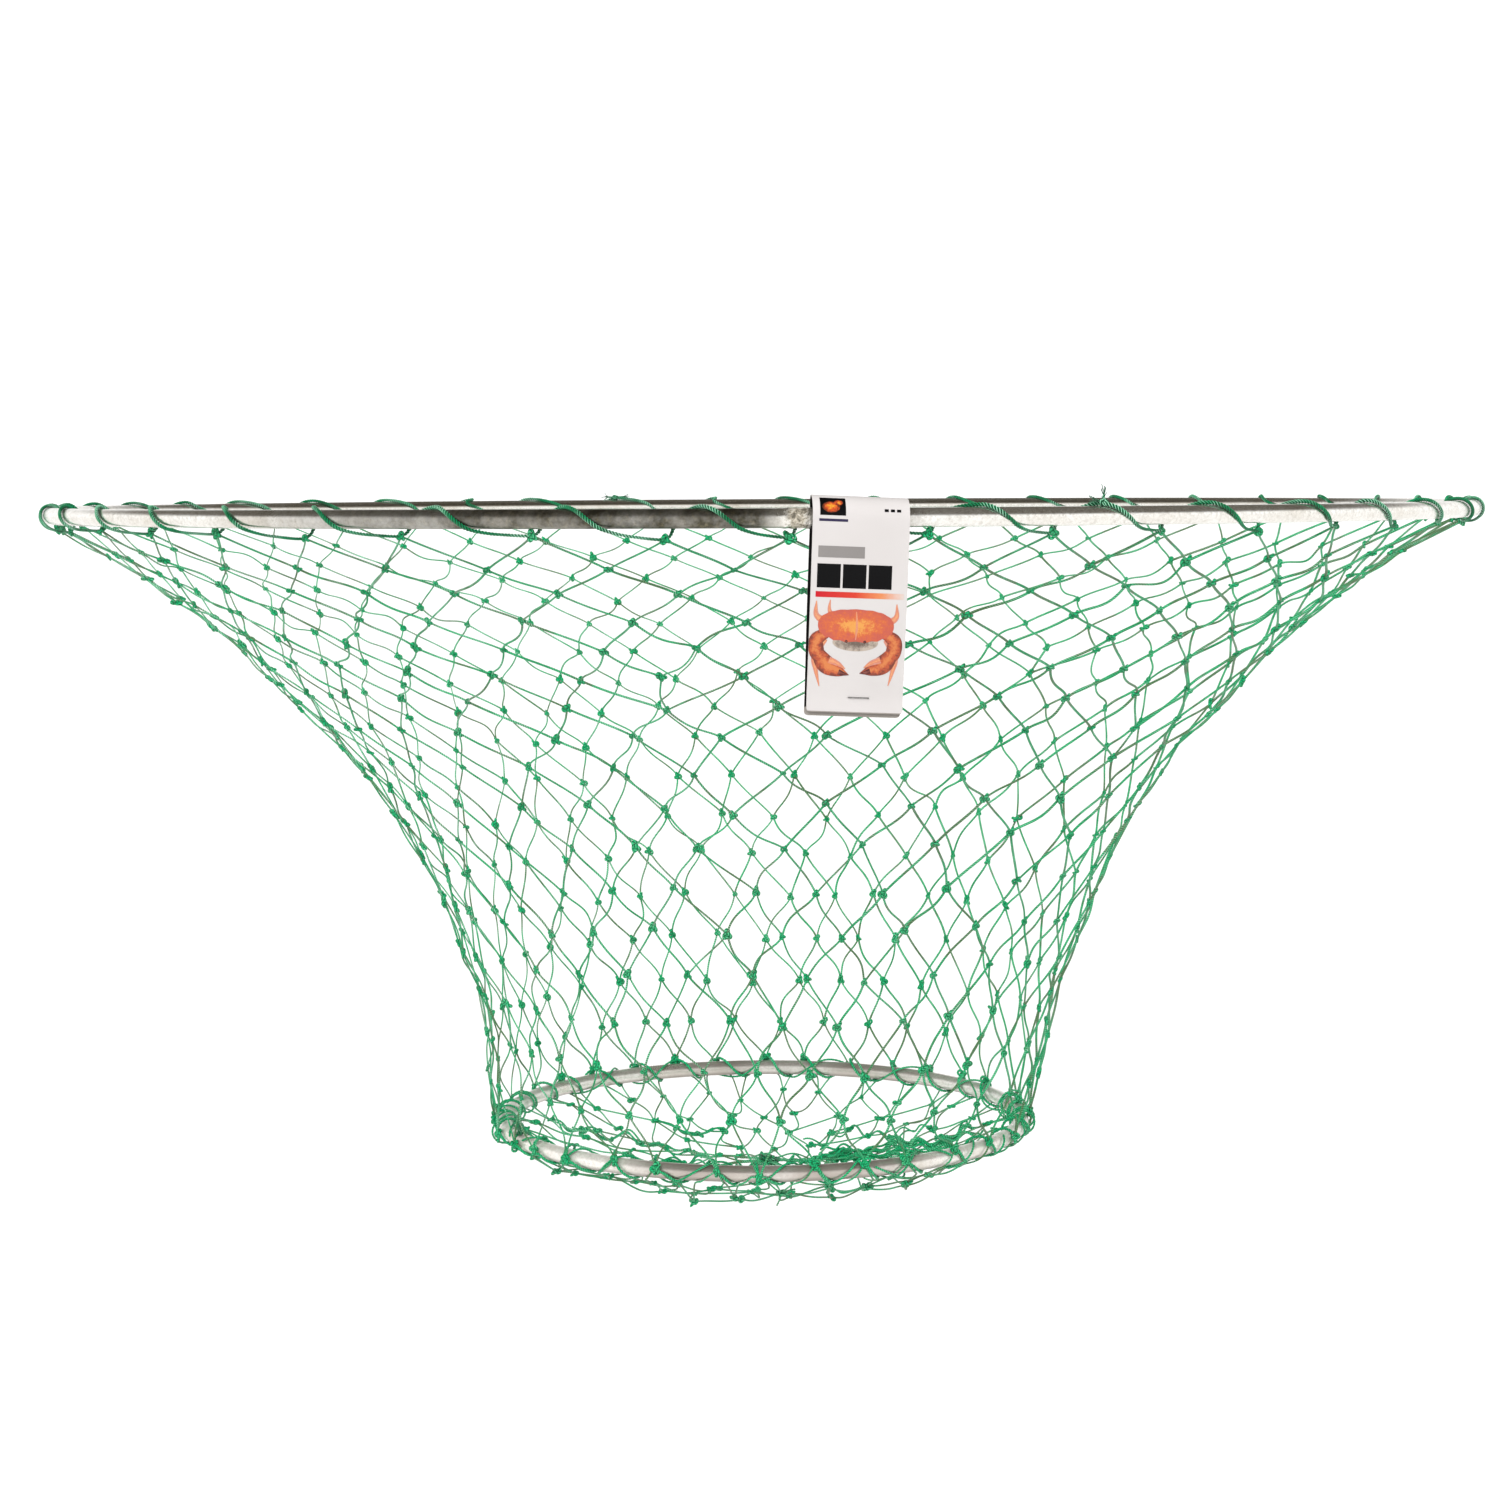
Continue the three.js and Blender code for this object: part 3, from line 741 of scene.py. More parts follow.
def bar_curves(a, b, down_a, down_b, out, slack, bow):
    """Hermite curves from a to b. A strand leaves its knot downwards, so a slack bar takes an S shape. Bow
    has three numbers for each bar, which push its middle along the netting, out of it and upwards."""
    t = np.linspace(0, 1, SEGMENTS + 1)[None, :, None]
    chord = b - a
    size = np.linalg.norm(chord, axis=-1, keepdims=True)
    k = slack[:, None]
    ta = unit(unit(chord) * (1 - k) + down_a * k) * size * (1 + 0.5 * k)
    tb = unit(unit(chord) * (1 - k) + down_b * k) * size * (1 + 0.5 * k)
    h00, h10, h01, h11 = 2 * t**3 - 3 * t**2 + 1, t**3 - 2 * t**2 + t, 3 * t**2 - 2 * t**3, t**3 - t**2
    curve = h00 * a[:, None] + h10 * ta[:, None] + h01 * b[:, None] + h11 * tb[:, None]
    side = unit(np.cross(out, chord))
    swell = np.sin(np.pi * t) ** 1.3
    bend = bow[:, :1, None] * side[:, None] + bow[:, 1:2, None] * out[:, None] + bow[:, 2:, None] * UP
    return curve + swell * bend


def down_the_wall(points, runs):
    """Which way the wall runs down at each knot of a row."""
    degrees = np.degrees(np.arctan2(points[:, 0], -points[:, 1]))
    step = on_wall(runs + 3.0, degrees) - on_wall(runs - 3.0, degrees)
    return np.where(np.linalg.norm(step, axis=1, keepdims=True) > 1, unit(step), -UP)


knot_downs = [down_the_wall(*row) for row in zip(knots, knot_runs)]
tied = [(r, j, k) for r, links in enumerate(bars) for k, tops in enumerate(links) for j in tops]
starts, down_starts = (np.array([of[r][j] for r, j, k in tied]) for of in (knots, knot_downs))
ends, down_ends = (np.array([of[r + 1][k] for r, j, k in tied]) for of in (knots, knot_downs))
outs = unit((starts + ends) * [1, 1, 0])
chords = np.linalg.norm(ends - starts, axis=1)
real = BAR * (1 + rng.normal(0, 0.02, len(chords)))
spare = np.clip(real / chords - 1, 0.002, 0.25)
lateral = np.sqrt(spare) * chords * 0.64
flat = 1 - np.abs(unit(ends - starts)[:, 2])
n = len(chords)
bow = [rng.normal(0, 0.2, n), rng.normal(0, 0.16, n), -flat * rng.uniform(0.1, 0.4, n)]
bow = np.stack(bow, -1) * lateral[:, None]
slack = np.clip(0.08 + 1.0 * np.sqrt(spare) * rng.uniform(0.3, 1.5, len(chords)), 0.03, 0.6)
wall_paths = bar_curves(starts, ends, down_starts, down_ends, outs, slack, bow)
wall_ref = np.broadcast_to(outs[:, None], wall_paths.shape)
thickness = TWINE * np.interp((starts + ends)[:, :1] / 2, [-300, -100, 100, 300], [0.9, 1.05, 1.24, 1.36])
thickness = thickness * rng.uniform(0.85, 1.12, (len(chords), 1))
wall_rings, wall_run = tube_rings(wall_paths, wall_ref, thickness, BAR_SIDES)

band_height = (NET_TOP - NET_BOTTOM) / NET_BANDS


def band_of(height):
    return np.clip(np.floor((NET_TOP - height) / band_height), 0, NET_BANDS - 1).astype(int)


knot_rng = np.random.default_rng(5)


def add_knots(shape, centres, downs, outs, size, wire):
    """Mesh knots: each a tight overhand lump, turned and sized a little differently."""
    points, faces, uv = closed_tube(loop_knot(size, wire * 0.85, 26), wire, 6)
    n = len(centres)
    z = unit(outs - (outs * downs).sum(-1, keepdims=True) * downs)
    basis = np.stack([np.cross(downs, z), downs, z], 1)
    spin, tip = knot_rng.uniform(-0.6, 0.6, n), knot_rng.normal(0, 0.3, n)
    c, s, ct, st = np.cos(spin), np.sin(spin), np.cos(tip), np.sin(tip)
    o, i = np.zeros(n), np.ones(n)
    matrices = lambda *lines: np.stack([np.stack(line, -1) for line in lines], 1)
    turn = matrices((c, s, o), (-s, c, o), (o, o, i))
    pitch = matrices((i, o, o), (o, ct, st), (o, -st, ct))
    size = knot_rng.uniform(0.76, 1.2, (n, 1, 1))
    stretch = np.stack([knot_rng.uniform(0.8, 1.05, n), knot_rng.uniform(1.0, 1.3, n), i], -1)
    placed = (points[None] * (size * stretch[:, None])) @ turn @ pitch @ basis + centres[:, None]
    all_faces = (faces[None] + (np.arange(n) * len(points))[:, None, None]).reshape(-1, 4)
    shape.add(placed, all_faces, np.tile(uv, (n, 1)), 1)


segment_band = band_of(((wall_paths[:, 1:] + wall_paths[:, :-1]) / 2)[..., 2])
flat_knots, flat_down = np.vstack(knots[1:-1]), np.vstack(knot_downs[1:-1])
flat_out = unit(flat_knots * [1, 1, 0])
knot_band = band_of(flat_knots[:, 2])
for band in range(NET_BANDS):
    shape = Shape()
    pack_to(shape, wall_rings, wall_run, BAR_SIDES, segment_band == band)
    here = knot_band == band
    add_knots(shape, flat_knots[here], flat_down[here], flat_out[here], 4.4, 0.74)
    # the rows that the lashings hold, at the top and at the bottom
    for at, row, size, wire in ((0, 0, 4.5, 0.76), (NET_BANDS - 1, -1, 4.8, 0.8)):
        if band == at:
            add_knots(shape, knots[row], np.tile(-UP, (counts[row], 1)), outward(rows[row]), size, wire)
    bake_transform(shape.piece(f"netting_{band + 1}", [twine, knot_twine], f"net_wall_{band + 1}"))


# ---- Net floor ----
# each row's radius, height, how many meshes are taken out of it and how much its sides are lifted
FLOOR_ROWS = [
    (138, -371.5, 0, 5.5), (112, -379.5, 5, 5.0), (85, -384.0, 6, 4.0),
    (58, -386.0, 7, 2.0), (32, -385.5, 5, 0.0),
]
GATHER = np.array([3.6, -4.0, -381.5])  # centre of the drawstring's coil


def even_out(angles, passes):
    for _ in range(passes):
        left, right = np.roll(angles, 1), np.roll(angles, -1)
        left[0] -= 360
        right[-1] += 360
        angles = 0.5 * angles + 0.25 * (left + right)
    return angles


floor_rng = np.random.default_rng(11)
floor_angles, floor_knots, floor_links = [rows[-1]], [], []
for row, (radius, height, batings, lift) in enumerate(FLOOR_ROWS):
    n = len(floor_angles[-1])
    spaced = [int((i + 0.5 * (row % 2)) * n / batings) % (n - 1) for i in range(batings)]
    angles, links = next_row(floor_angles[-1], spaced)
    angles = even_out(angles, 3 if row else 0)
    a = np.radians(angles)
    n = len(angles)
    angles = angles + np.degrees(floor_rng.normal(0, 2.2, n) / radius)
    r = radius + (3 * np.sin(3 * a + row) + floor_rng.normal(0, 2.6, n)) * (1 if row else 0.5)
    z = height + 1.6 * np.sin(2 * a + 1.3 * row) + floor_rng.normal(0, 1.5 if row else 2.2, n)
    z += lift * np.sin(a) ** 2
    floor_angles.append(angles)
    floor_links.append(links)
    drawn = GATHER * [1, 1, 0] * row / len(FLOOR_ROWS)
    floor_knots.append(outward(angles) * r[:, None] + UP * z[:, None] + drawn)

# under the rod: from the knots outside it to the first row inside
HUG = [(0.24, -4, 5.7), (0.48, -44, 5.7), (0.72, -84, 6.2)]
paths = []
for k in range(FOOT_WRAPS):
    for j in (k, (k + 1) % FOOT_WRAPS):
        start, end = rows[-1][j], floor_angles[1][k]
        start += 360 * round((end - start) / 360)
        hug = [by_foot(start + (end - start) * s, turn, d) for s, turn, d in HUG]
        paths.append(resample(catmull([knots[-1][j], *hug, floor_knots[0][k]], 10), SEGMENTS + 1))
under = np.array(paths)

tied = [(r, j, k) for r in range(1, len(FLOOR_ROWS)) for k, tops in enumerate(floor_links[r]) for j in tops]
starts = np.array([floor_knots[r - 1][j] for r, j, k in tied])
ends = np.array([floor_knots[r][k] for r, j, k in tied])
n = len(tied)
chords = np.linalg.norm(ends - starts, axis=1)
spare = np.clip(BAR * (1 + floor_rng.normal(0, 0.03, n)) / chords - 1, 0.004, 0.3)
lateral = np.sqrt(spare) * chords * 0.3
bow = np.stack([floor_rng.normal(0, 0.6, n), floor_rng.uniform(0.0, 0.9, n), np.zeros(n)], -1)
bow *= lateral[:, None]
inwards = -unit((starts + ends) * [1, 1, 0])
slack = np.clip(0.1 + 0.7 * np.sqrt(spare) * floor_rng.uniform(0.3, 1.5, n), 0.05, 0.6)
inside = bar_curves(starts, ends, inwards, inwards, np.tile(-UP, (n, 1)), slack, bow)
floor_paths = np.concatenate([under, inside])
ref = np.broadcast_to(np.array([0.12, 0.07, 1.0]), floor_paths.shape).copy()
ref[: len(under)] = np.cross(np.gradient(under, axis=1), UP) + 1e-3
floor_rings, floor_run = tube_rings(floor_paths, ref, TWINE, BAR_SIDES)

shape = Shape()
pack_to(shape, floor_rings, floor_run, BAR_SIDES, np.ones(floor_run[:, 1:].shape, bool))
for centres in floor_knots:
    add_knots(shape, centres, -unit(centres * [1, 1, 0]), np.tile(-UP, (len(centres), 1)), 4.6, 0.76)
# the last meshes are gathered on the drawstring
for a in floor_knots[-1]:
    for turn in (-0.35, 0.35):
        heading = math.atan2(a[1] - GATHER[1], a[0] - GATHER[0]) + turn
        tip = GATHER + np.array([math.cos(heading), math.sin(heading), 0]) * floor_rng.uniform(4.5, 6.5)
        mid = (a + tip) / 2 + floor_rng.normal(0, 1.6, 3)
        add_tube(shape, catmull([a, mid, tip, GATHER + floor_rng.normal(0, 1.5, 3)], 6), TWINE, 6, caps=False)


def bundle(shape, points, strands, spread, count):
    """Several strands of the netting that have run together, with the knots caught in them."""
    steps = 90
    t = np.linspace(0, 1, steps)
    middle = resample(catmull(points, 12), steps)
    square = transported(middle)
    other = np.cross(unit(np.gradient(middle, axis=0)), square)
    length = length_of(middle)

    def wander(size):
        waves = [(floor_rng.normal(0, size / k**0.5), k, floor_rng.uniform(0, 6.3)) for k in (1, 2, 3)]
        return sum(tall * np.sin(2 * np.pi * k / 46 * t * length + phase) for tall, k, phase in waves)

    held = np.clip(9 * t * (1 - t), 0, 1)[:, None]
    middle = middle + held * (other * wander(1.7)[:, None] + square * wander(0.9)[:, None])
    fan = 1 + 2.4 * np.abs(2 * t - 1) ** 5
    for strand in range(strands):
        lap = 2 * np.pi * (strand / strands + t * floor_rng.uniform(-1.2, 1.8)) + floor_rng.uniform(-0.4, 0.4)
        away = spread * (0.75 + 0.55 * np.sin(length / 5 * t + 2.1 * strand)) * fan
        aside = np.sin(lap) * away + wander(0.7)
        offset = square * (np.cos(lap) * away * 0.7)[:, None] + other * aside[:, None]
        cut = slice(int(floor_rng.uniform(0, 16)), steps - int(floor_rng.uniform(0, 16)))
        if strand == 0:  # the one that the knots are tied in
            offset, cut = offset * 0, slice(0, steps)
        add_tube(shape, (middle + offset)[cut], TWINE * (1.08 + 0.06 * (strands - 2)), 6, slot=1)
    places = np.array([middle[int(k * (steps - 1))] for k in np.linspace(0.03, 0.97, count)])
    places += floor_rng.normal(0, 0.5, (count, 3))
    heading = unit(floor_rng.normal(0, 1, (count, 3)))
    add_knots(shape, places, heading, np.tile([0.1, -0.6, -0.8], (count, 1)), 4.4, 0.74)


# each bundle's route, number of strands, spread and number of knots
BUNDLES = [
    ([(132, 24, -371), (112, 26, -375), (92, 16, -377), (66, 14, -380), (40, 4, -383)], 7, 2.4, 10),
    ([(120, -6, -375), (96, -2, -378), (70, 6, -380), (46, 14, -382)], 5, 2.2, 7),
    ([(-124, 60, -372), (-104, 52, -377), (-82, 50, -380), (-58, 37, -383), (-34, 34, -384)], 3, 1.7, 6),
    ([(-66, 82, -379), (-50, 78, -380.5), (-34, 80, -381), (-20, 70, -382)], 3, 1.0, 4),
    ([(44, 26, -382), (41, 2, -384), (38, -22, -385), (32, -48, -385)], 6, 1.2, 5),
    ([(-136, 2, -369), (-118, -12, -375), (-92, -26, -380), (-70, -20, -383)], 3, 2.2, 5),
    ([(-20, -20, -384), (-4, -6, -383), (14, -14, -384), (26, -8, -384)], 4, 2.4, 5),
    ([(-92, 20, -381), (-74, 4, -383), (-50, 6, -384), (-28, -10, -385)], 3, 2.2, 4),
    ([(20, 60, -382), (44, 58, -381), (70, 66, -380), (92, 58, -378)], 2, 2.6, 4),
]
tied = np.vstack(floor_knots)
for route, strands, spread, count in BUNDLES:
    first, last = (tied[np.argmin(np.linalg.norm(tied - end, axis=1))] for end in (route[0], route[-1]))
    bundle(shape, [first, *route[1:-1], last], strands, spread, count)
# one mesh knot where the netting's twine ends: two cut tails
low = floor_knots[0][int(np.argmin(np.abs((floor_angles[1] - 8.5 + 180) % 360 - 180)))]
for tip in np.array([(7.5, -2.0, 2.6), (-2.4, -1.5, -6.5)]):
    add_tube(shape, catmull([low, low + tip * 0.5 + [0.6, 0, 0.5], low + tip], 6), TWINE, 6)
shape.piece("netting_floor", [twine, knot_twine], "net_floor", "lower_hoop")


# ---- Drawstring ----
shape = Shape()
t = np.linspace(0, 4 * np.pi, 90)
ring = np.stack([(5.2 + 0.6 * np.sin(3 * t)) * np.cos(t), (5.2 + 0.6 * np.cos(2 * t)) * np.sin(t)], -1)
coil = np.column_stack([ring, 1.8 * np.sin(t / 2) + 0.5 * np.sin(5 * t)]) + GATHER
add_tube(shape, coil, 1.05, 10, plies=3, depth=0.15, pitch=6)
add_tie(shape, GATHER - UP * 3, 0.0, 6.0, 1.0, [(6.0, -4.5, 1.0), (-4.6, -5.0, -1.0)], 77)
shape.piece("drawstring_cord", [lashing], "drawstring", "lower_hoop")


# ---- Foot lashing ----
# share of the way to the next mesh, turn round the rod, distance from its centre
FOOT_WRAP = [
    (0.0, 40, 7.0), (0.16, -8, 5.9), (0.32, -58, 5.6), (0.46, -110, 5.6), (0.62, -160, 5.6),
    (0.76, -210, 5.7), (0.9, -262, 6.0),
]
foot_slack = np.abs(rng.normal(0, 0.8, FOOT_WRAPS))
foot_order = np.argsort(rows[-1] % 360)
foot_places = (rows[-1] % 360)[foot_order]
foot_turns = foot_turn[foot_order]
FOOT_JOIN = 27  # wrap at which the lashing's two ends are tied


def foot_corner(step):
    wrap, k = divmod(step, len(FOOT_WRAP))
    share, turn, distance = FOOT_WRAP[k]
    lap, mesh = divmod(wrap, FOOT_WRAPS)
    if k == 0:
        turn = foot_turns[mesh]
    elif k == 1:
        turn = min(turn, foot_turns[mesh] - 14)
    elif k > 4:
        distance += foot_slack[mesh]
    here = foot_places[mesh] + 360 * lap
    there = foot_places[(mesh + 1) % FOOT_WRAPS] + 360 * ((wrap + 1) // FOOT_WRAPS)
    return [here + share * (there - here), turn - 360 * wrap, distance]


ends = FOOT_JOIN * len(FOOT_WRAP), (FOOT_JOIN + FOOT_WRAPS) * len(FOOT_WRAP) + 1
fine = catmull([foot_corner(step) for step in range(*ends)], 10)
route = by_foot(fine[:, 0], fine[:, 1], fine[:, 2])
shape = Shape()
add_tube(shape, resample(route, int(length_of(route) / 0.55)), 0.9, 9, slot=1, plies=2, depth=0.16, pitch=4.4)
# a hitch where the lashing picks up each mesh
foot_local = np.random.default_rng(31)
hitch_turns = foot_turns + foot_local.normal(0, 10, FOOT_WRAPS)
hitches = by_foot(foot_places, hitch_turns, 6.8)
for centre, degrees in zip(hitches, foot_places):
    knot = loop_knot(foot_local.uniform(4.4, 7.4), 0.76, 34) @ about_y(foot_local.uniform(-1.2, 1.2))
    knot = knot @ np.stack([along(degrees), UP, outward(degrees)]) + centre
    shape.add(*closed_tube(knot, 0.76, 7), 1)
# loose extra turns: from and to which angle, how many (negative winds the other way) and how far off the rod
LOOSE_TURNS = [
    (-110, -82, 4, 2.8), (-90, -68, 2, 3.6), (76, 102, 4, 2.8), (94, 116, 2, 3.8), (-60, 62, -8, 0.7),
    (24, 40, 1, 1.4), (118, 236, -6, 0.6),
]
for first, last, turns, loose in LOOSE_TURNS:
    t = np.linspace(0, 1, abs(turns) * 16 + 1)
    stray = 1.3 * np.sin(23 * t + last) * (turns < 0)
    degrees = first + (last - first) * t + 1.4 * np.sin(9 * t + first) + stray
    away = 5.6 + loose * np.sin(np.pi * t) ** 0.5 * (0.6 + 0.4 * np.sin(23 * t + last))
    turn = 20.0 - 360 * turns * t + 34 * np.sin(17 * t + first) * (turns < 0)
    path = by_foot(degrees, turn, away)
    path = resample(catmull(path, 3), abs(turns) * 60)
    add_tube(shape, path, 0.7, 7, slot=1, plies=2, depth=0.14, pitch=4.0)
shape.piece("foot_cord", [lashing, knot_twine], "foot_lashing", "lower_hoop")

shape = Shape()
tie_angle = foot_places[FOOT_JOIN % FOOT_WRAPS]
centre = by_foot(tie_angle, 60.0, 6.6)
add_tie(shape, centre, tie_angle, 3.6, 0.6, [(1.5, 3.6, 0.6), (-2.4, 2.2, 1.0)], 90)
shape.piece("foot_knot", [lashing], "foot_tie", "lower_hoop")


# ---- Header card ----
def paper_finish(name, colour, shade, rough, shine=0.3):
    f = Finish(name, Specular_IOR_Level=shine)
    fibres = f.noise(900.0)
    return f.set(
        Base_Color=f.mix(f.remap(f.noise(30.0, 2.0, 0.5), 0.0, 0.35), colour, shade),
        Normal=f.bump(fibres, 0.03 * MM, 0.35),
        Roughness=f.remap(fibres, rough - 0.06, rough + 0.06),
    )


def rule_finish():
    """The printed rule: red at its left end, fading through orange into the board's white."""
    f = Finish("ink_rule", Roughness=0.5, Specular_IOR_Level=0.2)
    at = f.add(f.split(f.uv())[0], f.remap(f.noise(700.0, 2.0), -0.02, 0.02))
    stops = (0.0, 172, 20, 36), (0.45, 184, 54, 40), (0.75, 196, 122, 78), (1.0, 190, 176, 170)
    return f.set(Base_Color=f.ramp(at, *stops))


def shell_finish(name, middle, body, rim, scale):
    """Printed crab shell: its colour runs from the middle of a shape (u = 0) to its rim (u = 1), mottled."""
    f = Finish(name, Roughness=0.5, Specular_IOR_Level=0.2)
    coarse, fine = f.noise(scale, 4.0, 0.7), f.noise(scale * 5, 2.0, 0.7)
    at = f.add(f.add(f.split(f.uv())[0], f.remap(coarse, -0.42, 0.42)), f.remap(fine, -0.2, 0.2))
    tone = f.ramp(at, (0.15, *middle), (0.55, *body), (0.98, *rim))
    return f.set(Base_Color=tone, Normal=f.bump(fine, 0.02 * MM, 0.3))


CARD_MATERIALS = [
    paper_finish("card_white", (189, 185, 184), (175, 170, 168), 0.5),
    paper_finish("card_black", (12, 11, 12), (24, 22, 24), 0.6, 0.1),
    paper_finish("card_raw", (140, 134, 128), (118, 112, 106), 0.75),
    paper_finish("ink_black", (6, 6, 7), (16, 15, 17), 0.5, 0.1),
    paper_finish("ink_grey", (128, 124, 122), (108, 104, 102), 0.5),
    paper_finish("ink_navy", (40, 36, 60), (66, 60, 90), 0.5, 0.15),
    rule_finish(),
    shell_finish("crab_shell", (198, 138, 70), (184, 92, 56), (170, 82, 68), 240.0),
    shell_finish("crab_shell_pale", (198, 138, 100), (186, 114, 88), (180, 128, 114), 300.0),
    shell_finish("crab_claw_tip", (120, 70, 62), (88, 44, 40), (66, 36, 38), 400.0),
    shell_finish("crab_mouth", (96, 84, 76), (128, 116, 106), (164, 152, 140), 500.0),
    shell_finish("ink_ochre", (196, 140, 40), (180, 66, 30), (80, 40, 24), 700.0),
    shell_finish("crab_arm", (186, 112, 66), (166, 78, 52), (106, 56, 48), 260.0),
]
WHITE, BLACK, RAW, INK, GREY, NAVY, RULE, SHELL, PALE, DARK, MOUTH, OCHRE, ARM = range(len(CARD_MATERIALS))

# the strip's centreline as (outward, up) from the rod's centre: front leaf, fold, back leaf
front_leaf = [(0.75, CARD_FOOT), (0.8, -80.5), (2.1, -70), (4.6, -50), (6.9, -28), (8.3, -10), (8.7, 0.6)]
fold = [(8.7 * math.cos(a), 0.6 + 8.7 * math.sin(a)) for a in np.radians(22.5 * np.arange(1, 8))]
back_leaf = [(-x, y) for x, y in front_leaf[:0:-1]] + [(-0.75, CARD_FOOT - BACK_LONGER)]
strip = catmull(front_leaf + fold + back_leaf, 8)
strip_run = np.r_[0, np.cumsum(np.linalg.norm(np.diff(strip, axis=0), axis=1))]
crest = strip_run[int(np.argmax(strip[:, 1]))]
front_end, back_end = crest, crest - strip_run[-1]
strip_normal = unit(np.stack([np.gradient(strip[:, 1]), -np.gradient(strip[:, 0])], -1))
BOARD = 0.5  # thickness of the card
CARD_HALF = CARD_WIDTH / 2
CORNER = 1.8  # radius of the leaves' lower corners
card_out, card_along = outward(CARD_ANGLE), along(CARD_ANGLE)


def on_card(u, v, proud=0.0):
    """A point of the card: u across it, v down the front leaf from the crest of the fold (negative behind),
    and proud of its outer face. It hangs a little askew, and the back leaf shows past the left edge."""
    u, v, proud = np.broadcast_arrays(u, v, proud)
    into = np.clip(CORNER - np.where(v > 0, front_end - v, v - back_end), 0, CORNER)
    half = CARD_HALF - CORNER + np.sqrt(CORNER**2 - into**2)
    u = np.clip(u, -half, half)
    run = crest - v
    flat = np.stack([np.interp(run, strip_run, strip[:, k]) for k in (0, 1)], -1)
    normal = np.stack([np.interp(run, strip_run, strip_normal[:, k]) for k in (0, 1)], -1)
    flat = flat + normal * (BOARD / 2 + proud)[..., None]
    drop = np.clip(9.6 - flat[..., 1], 0, None)
    askew = -0.9 - drop * 0.026 + np.interp(v, [back_end, -60, -14, 0], [-0.9, 0.0, 1.1, 0])
    ripple = 0.25 * np.sin(u * 0.16 + 1) * np.clip(np.abs(v) / 60, 0, 1)
    x = card_along * (u + askew)[..., None]
    y = card_out * (flat[..., 0] + ripple)[..., None]
    return card_out * HEAD_RADIUS + x + y + UP * (flat[..., 1] - u * 0.045)[..., None]


def card_sheet(shape, u, v, proud, slot, flip=False):
    """A grid of card surface. u and v are the grid's edges."""
    uu, vv = np.meshgrid(u, v, indexing="ij")
    quad = np.roll(grid_faces(*uu.shape), -1, 1)
    quad = quad[:, ::-1] if flip else quad
    shares = np.stack([(uu - u[0]) / (u[-1] - u[0]), (vv - v[0]) / (v[-1] - v[0])], -1).reshape(-1, 2)
    shape.add(on_card(uu, vv, proud), quad, shares[quad], slot)


shape = Shape()
middle = np.linspace(-CARD_HALF + 1.8, CARD_HALF - 1.8, 22)
across = np.r_[-CARD_HALF, -CARD_HALF + 0.9, middle, CARD_HALF - 0.9, CARD_HALF]
fine_end = np.linspace(CORNER, 0, 7)
front_v = np.r_[np.linspace(-3.0, front_end - 2.2, 60), front_end - fine_end]
back_v = np.r_[back_end + fine_end[::-1], np.linspace(back_end + 2.2, -3.0, 60)]
every_v = np.r_[back_v[:-1], front_v]
card_sheet(shape, across, front_v, 0.0, WHITE)
card_sheet(shape, across, back_v, 0.0, BLACK)
card_sheet(shape, across, front_v, -BOARD, RAW, flip=True)
# painted shade: the back leaf's inner face is black, for the dark gap between the leaves that shows past the
# left edge; its lowest band is raw board
card_sheet(shape, across, back_v[8:], -BOARD, BLACK, flip=True)
card_sheet(shape, across, back_v[:9], -BOARD, RAW, flip=True)
# the board's cut edges, between its outer and inner faces
cut_edges = [(-CARD_HALF, every_v, True), (CARD_HALF, every_v, False)]
cut_edges += [(across, back_end, False), (across, front_end, True)]
for u, v, turned in cut_edges:
    outer, inner = on_card(u, v), on_card(u, v, -BOARD)
    quad = grid_faces(2, len(outer))
    shape.add(np.vstack([outer, inner]), quad if turned else quad[:, ::-1], None, RAW)


def block(u0, u1, v0, v1, slot, proud=0.04):
    card_sheet(shape, np.linspace(u0, u1, 12), np.linspace(v0, v1, 8), proud, slot)


def faces_viewer(a, b, c):
    return np.cross(b - a, c - a) @ card_out > 0


def blob(outline, slot, proud):
    """A printed shape: rings of quads round a fan, from its middle to an outline of (u, v) points."""
    hub = outline.mean(0)
    shares = (0.3, 0.6, 0.85, 1.0)
    flat = np.vstack([hub[None]] + [hub + (outline - hub) * share for share in shares])
    placed = on_card(flat[:, 0], flat[:, 1], proud)
    m = len(outline)
    k = np.arange(m)
    fraction = np.r_[0, np.repeat(shares, m)]
    uv = lambda faces: np.stack([fraction[faces].ravel(), np.zeros(faces.size)], -1)
    fan = np.stack([np.zeros(m, int), 1 + k, 1 + (k + 1) % m], -1)
    outside = faces_viewer(*placed[fan[0]])
    fan = fan if outside else fan[:, ::-1]
    shape.add(placed, fan, uv(fan), slot)
    for ring in range(len(shares) - 1):
        a, b = 1 + ring * m + k, 1 + ring * m + (k + 1) % m
        quad = np.stack([a, a + m, b + m, b] if outside else [a, b, b + m, a + m], -1)
        shape.add(np.zeros((0, 3)), quad - len(placed), uv(quad), slot)


def stroke(points, widths, slot, proud):
    """A printed limb: a smooth line with a width that changes along it."""
    fine = catmull(np.column_stack([points, widths]), 8)
    line, width = fine[:, :2], fine[:, 2:]
    heading = unit(np.gradient(line, axis=0))
    square = np.stack([-heading[:, 1], heading[:, 0]], -1)
    lines = np.stack([line + square * width * s / 2 for s in (1, 0.5, 0, -0.5, -1)])
    m = len(line)
    placed = on_card(lines[..., 0], lines[..., 1], proud).reshape(-1, 3)
    quad = grid_faces(5, m)
    if not faces_viewer(placed[0], placed[1], placed[m + 1]):
        quad = quad[:, ::-1]
    fraction = np.repeat([1, 0.55, 0.1, 0.55, 1], m)
    shape.add(placed, quad, np.stack([fraction[quad].ravel(), np.zeros(quad.size)], -1), slot)


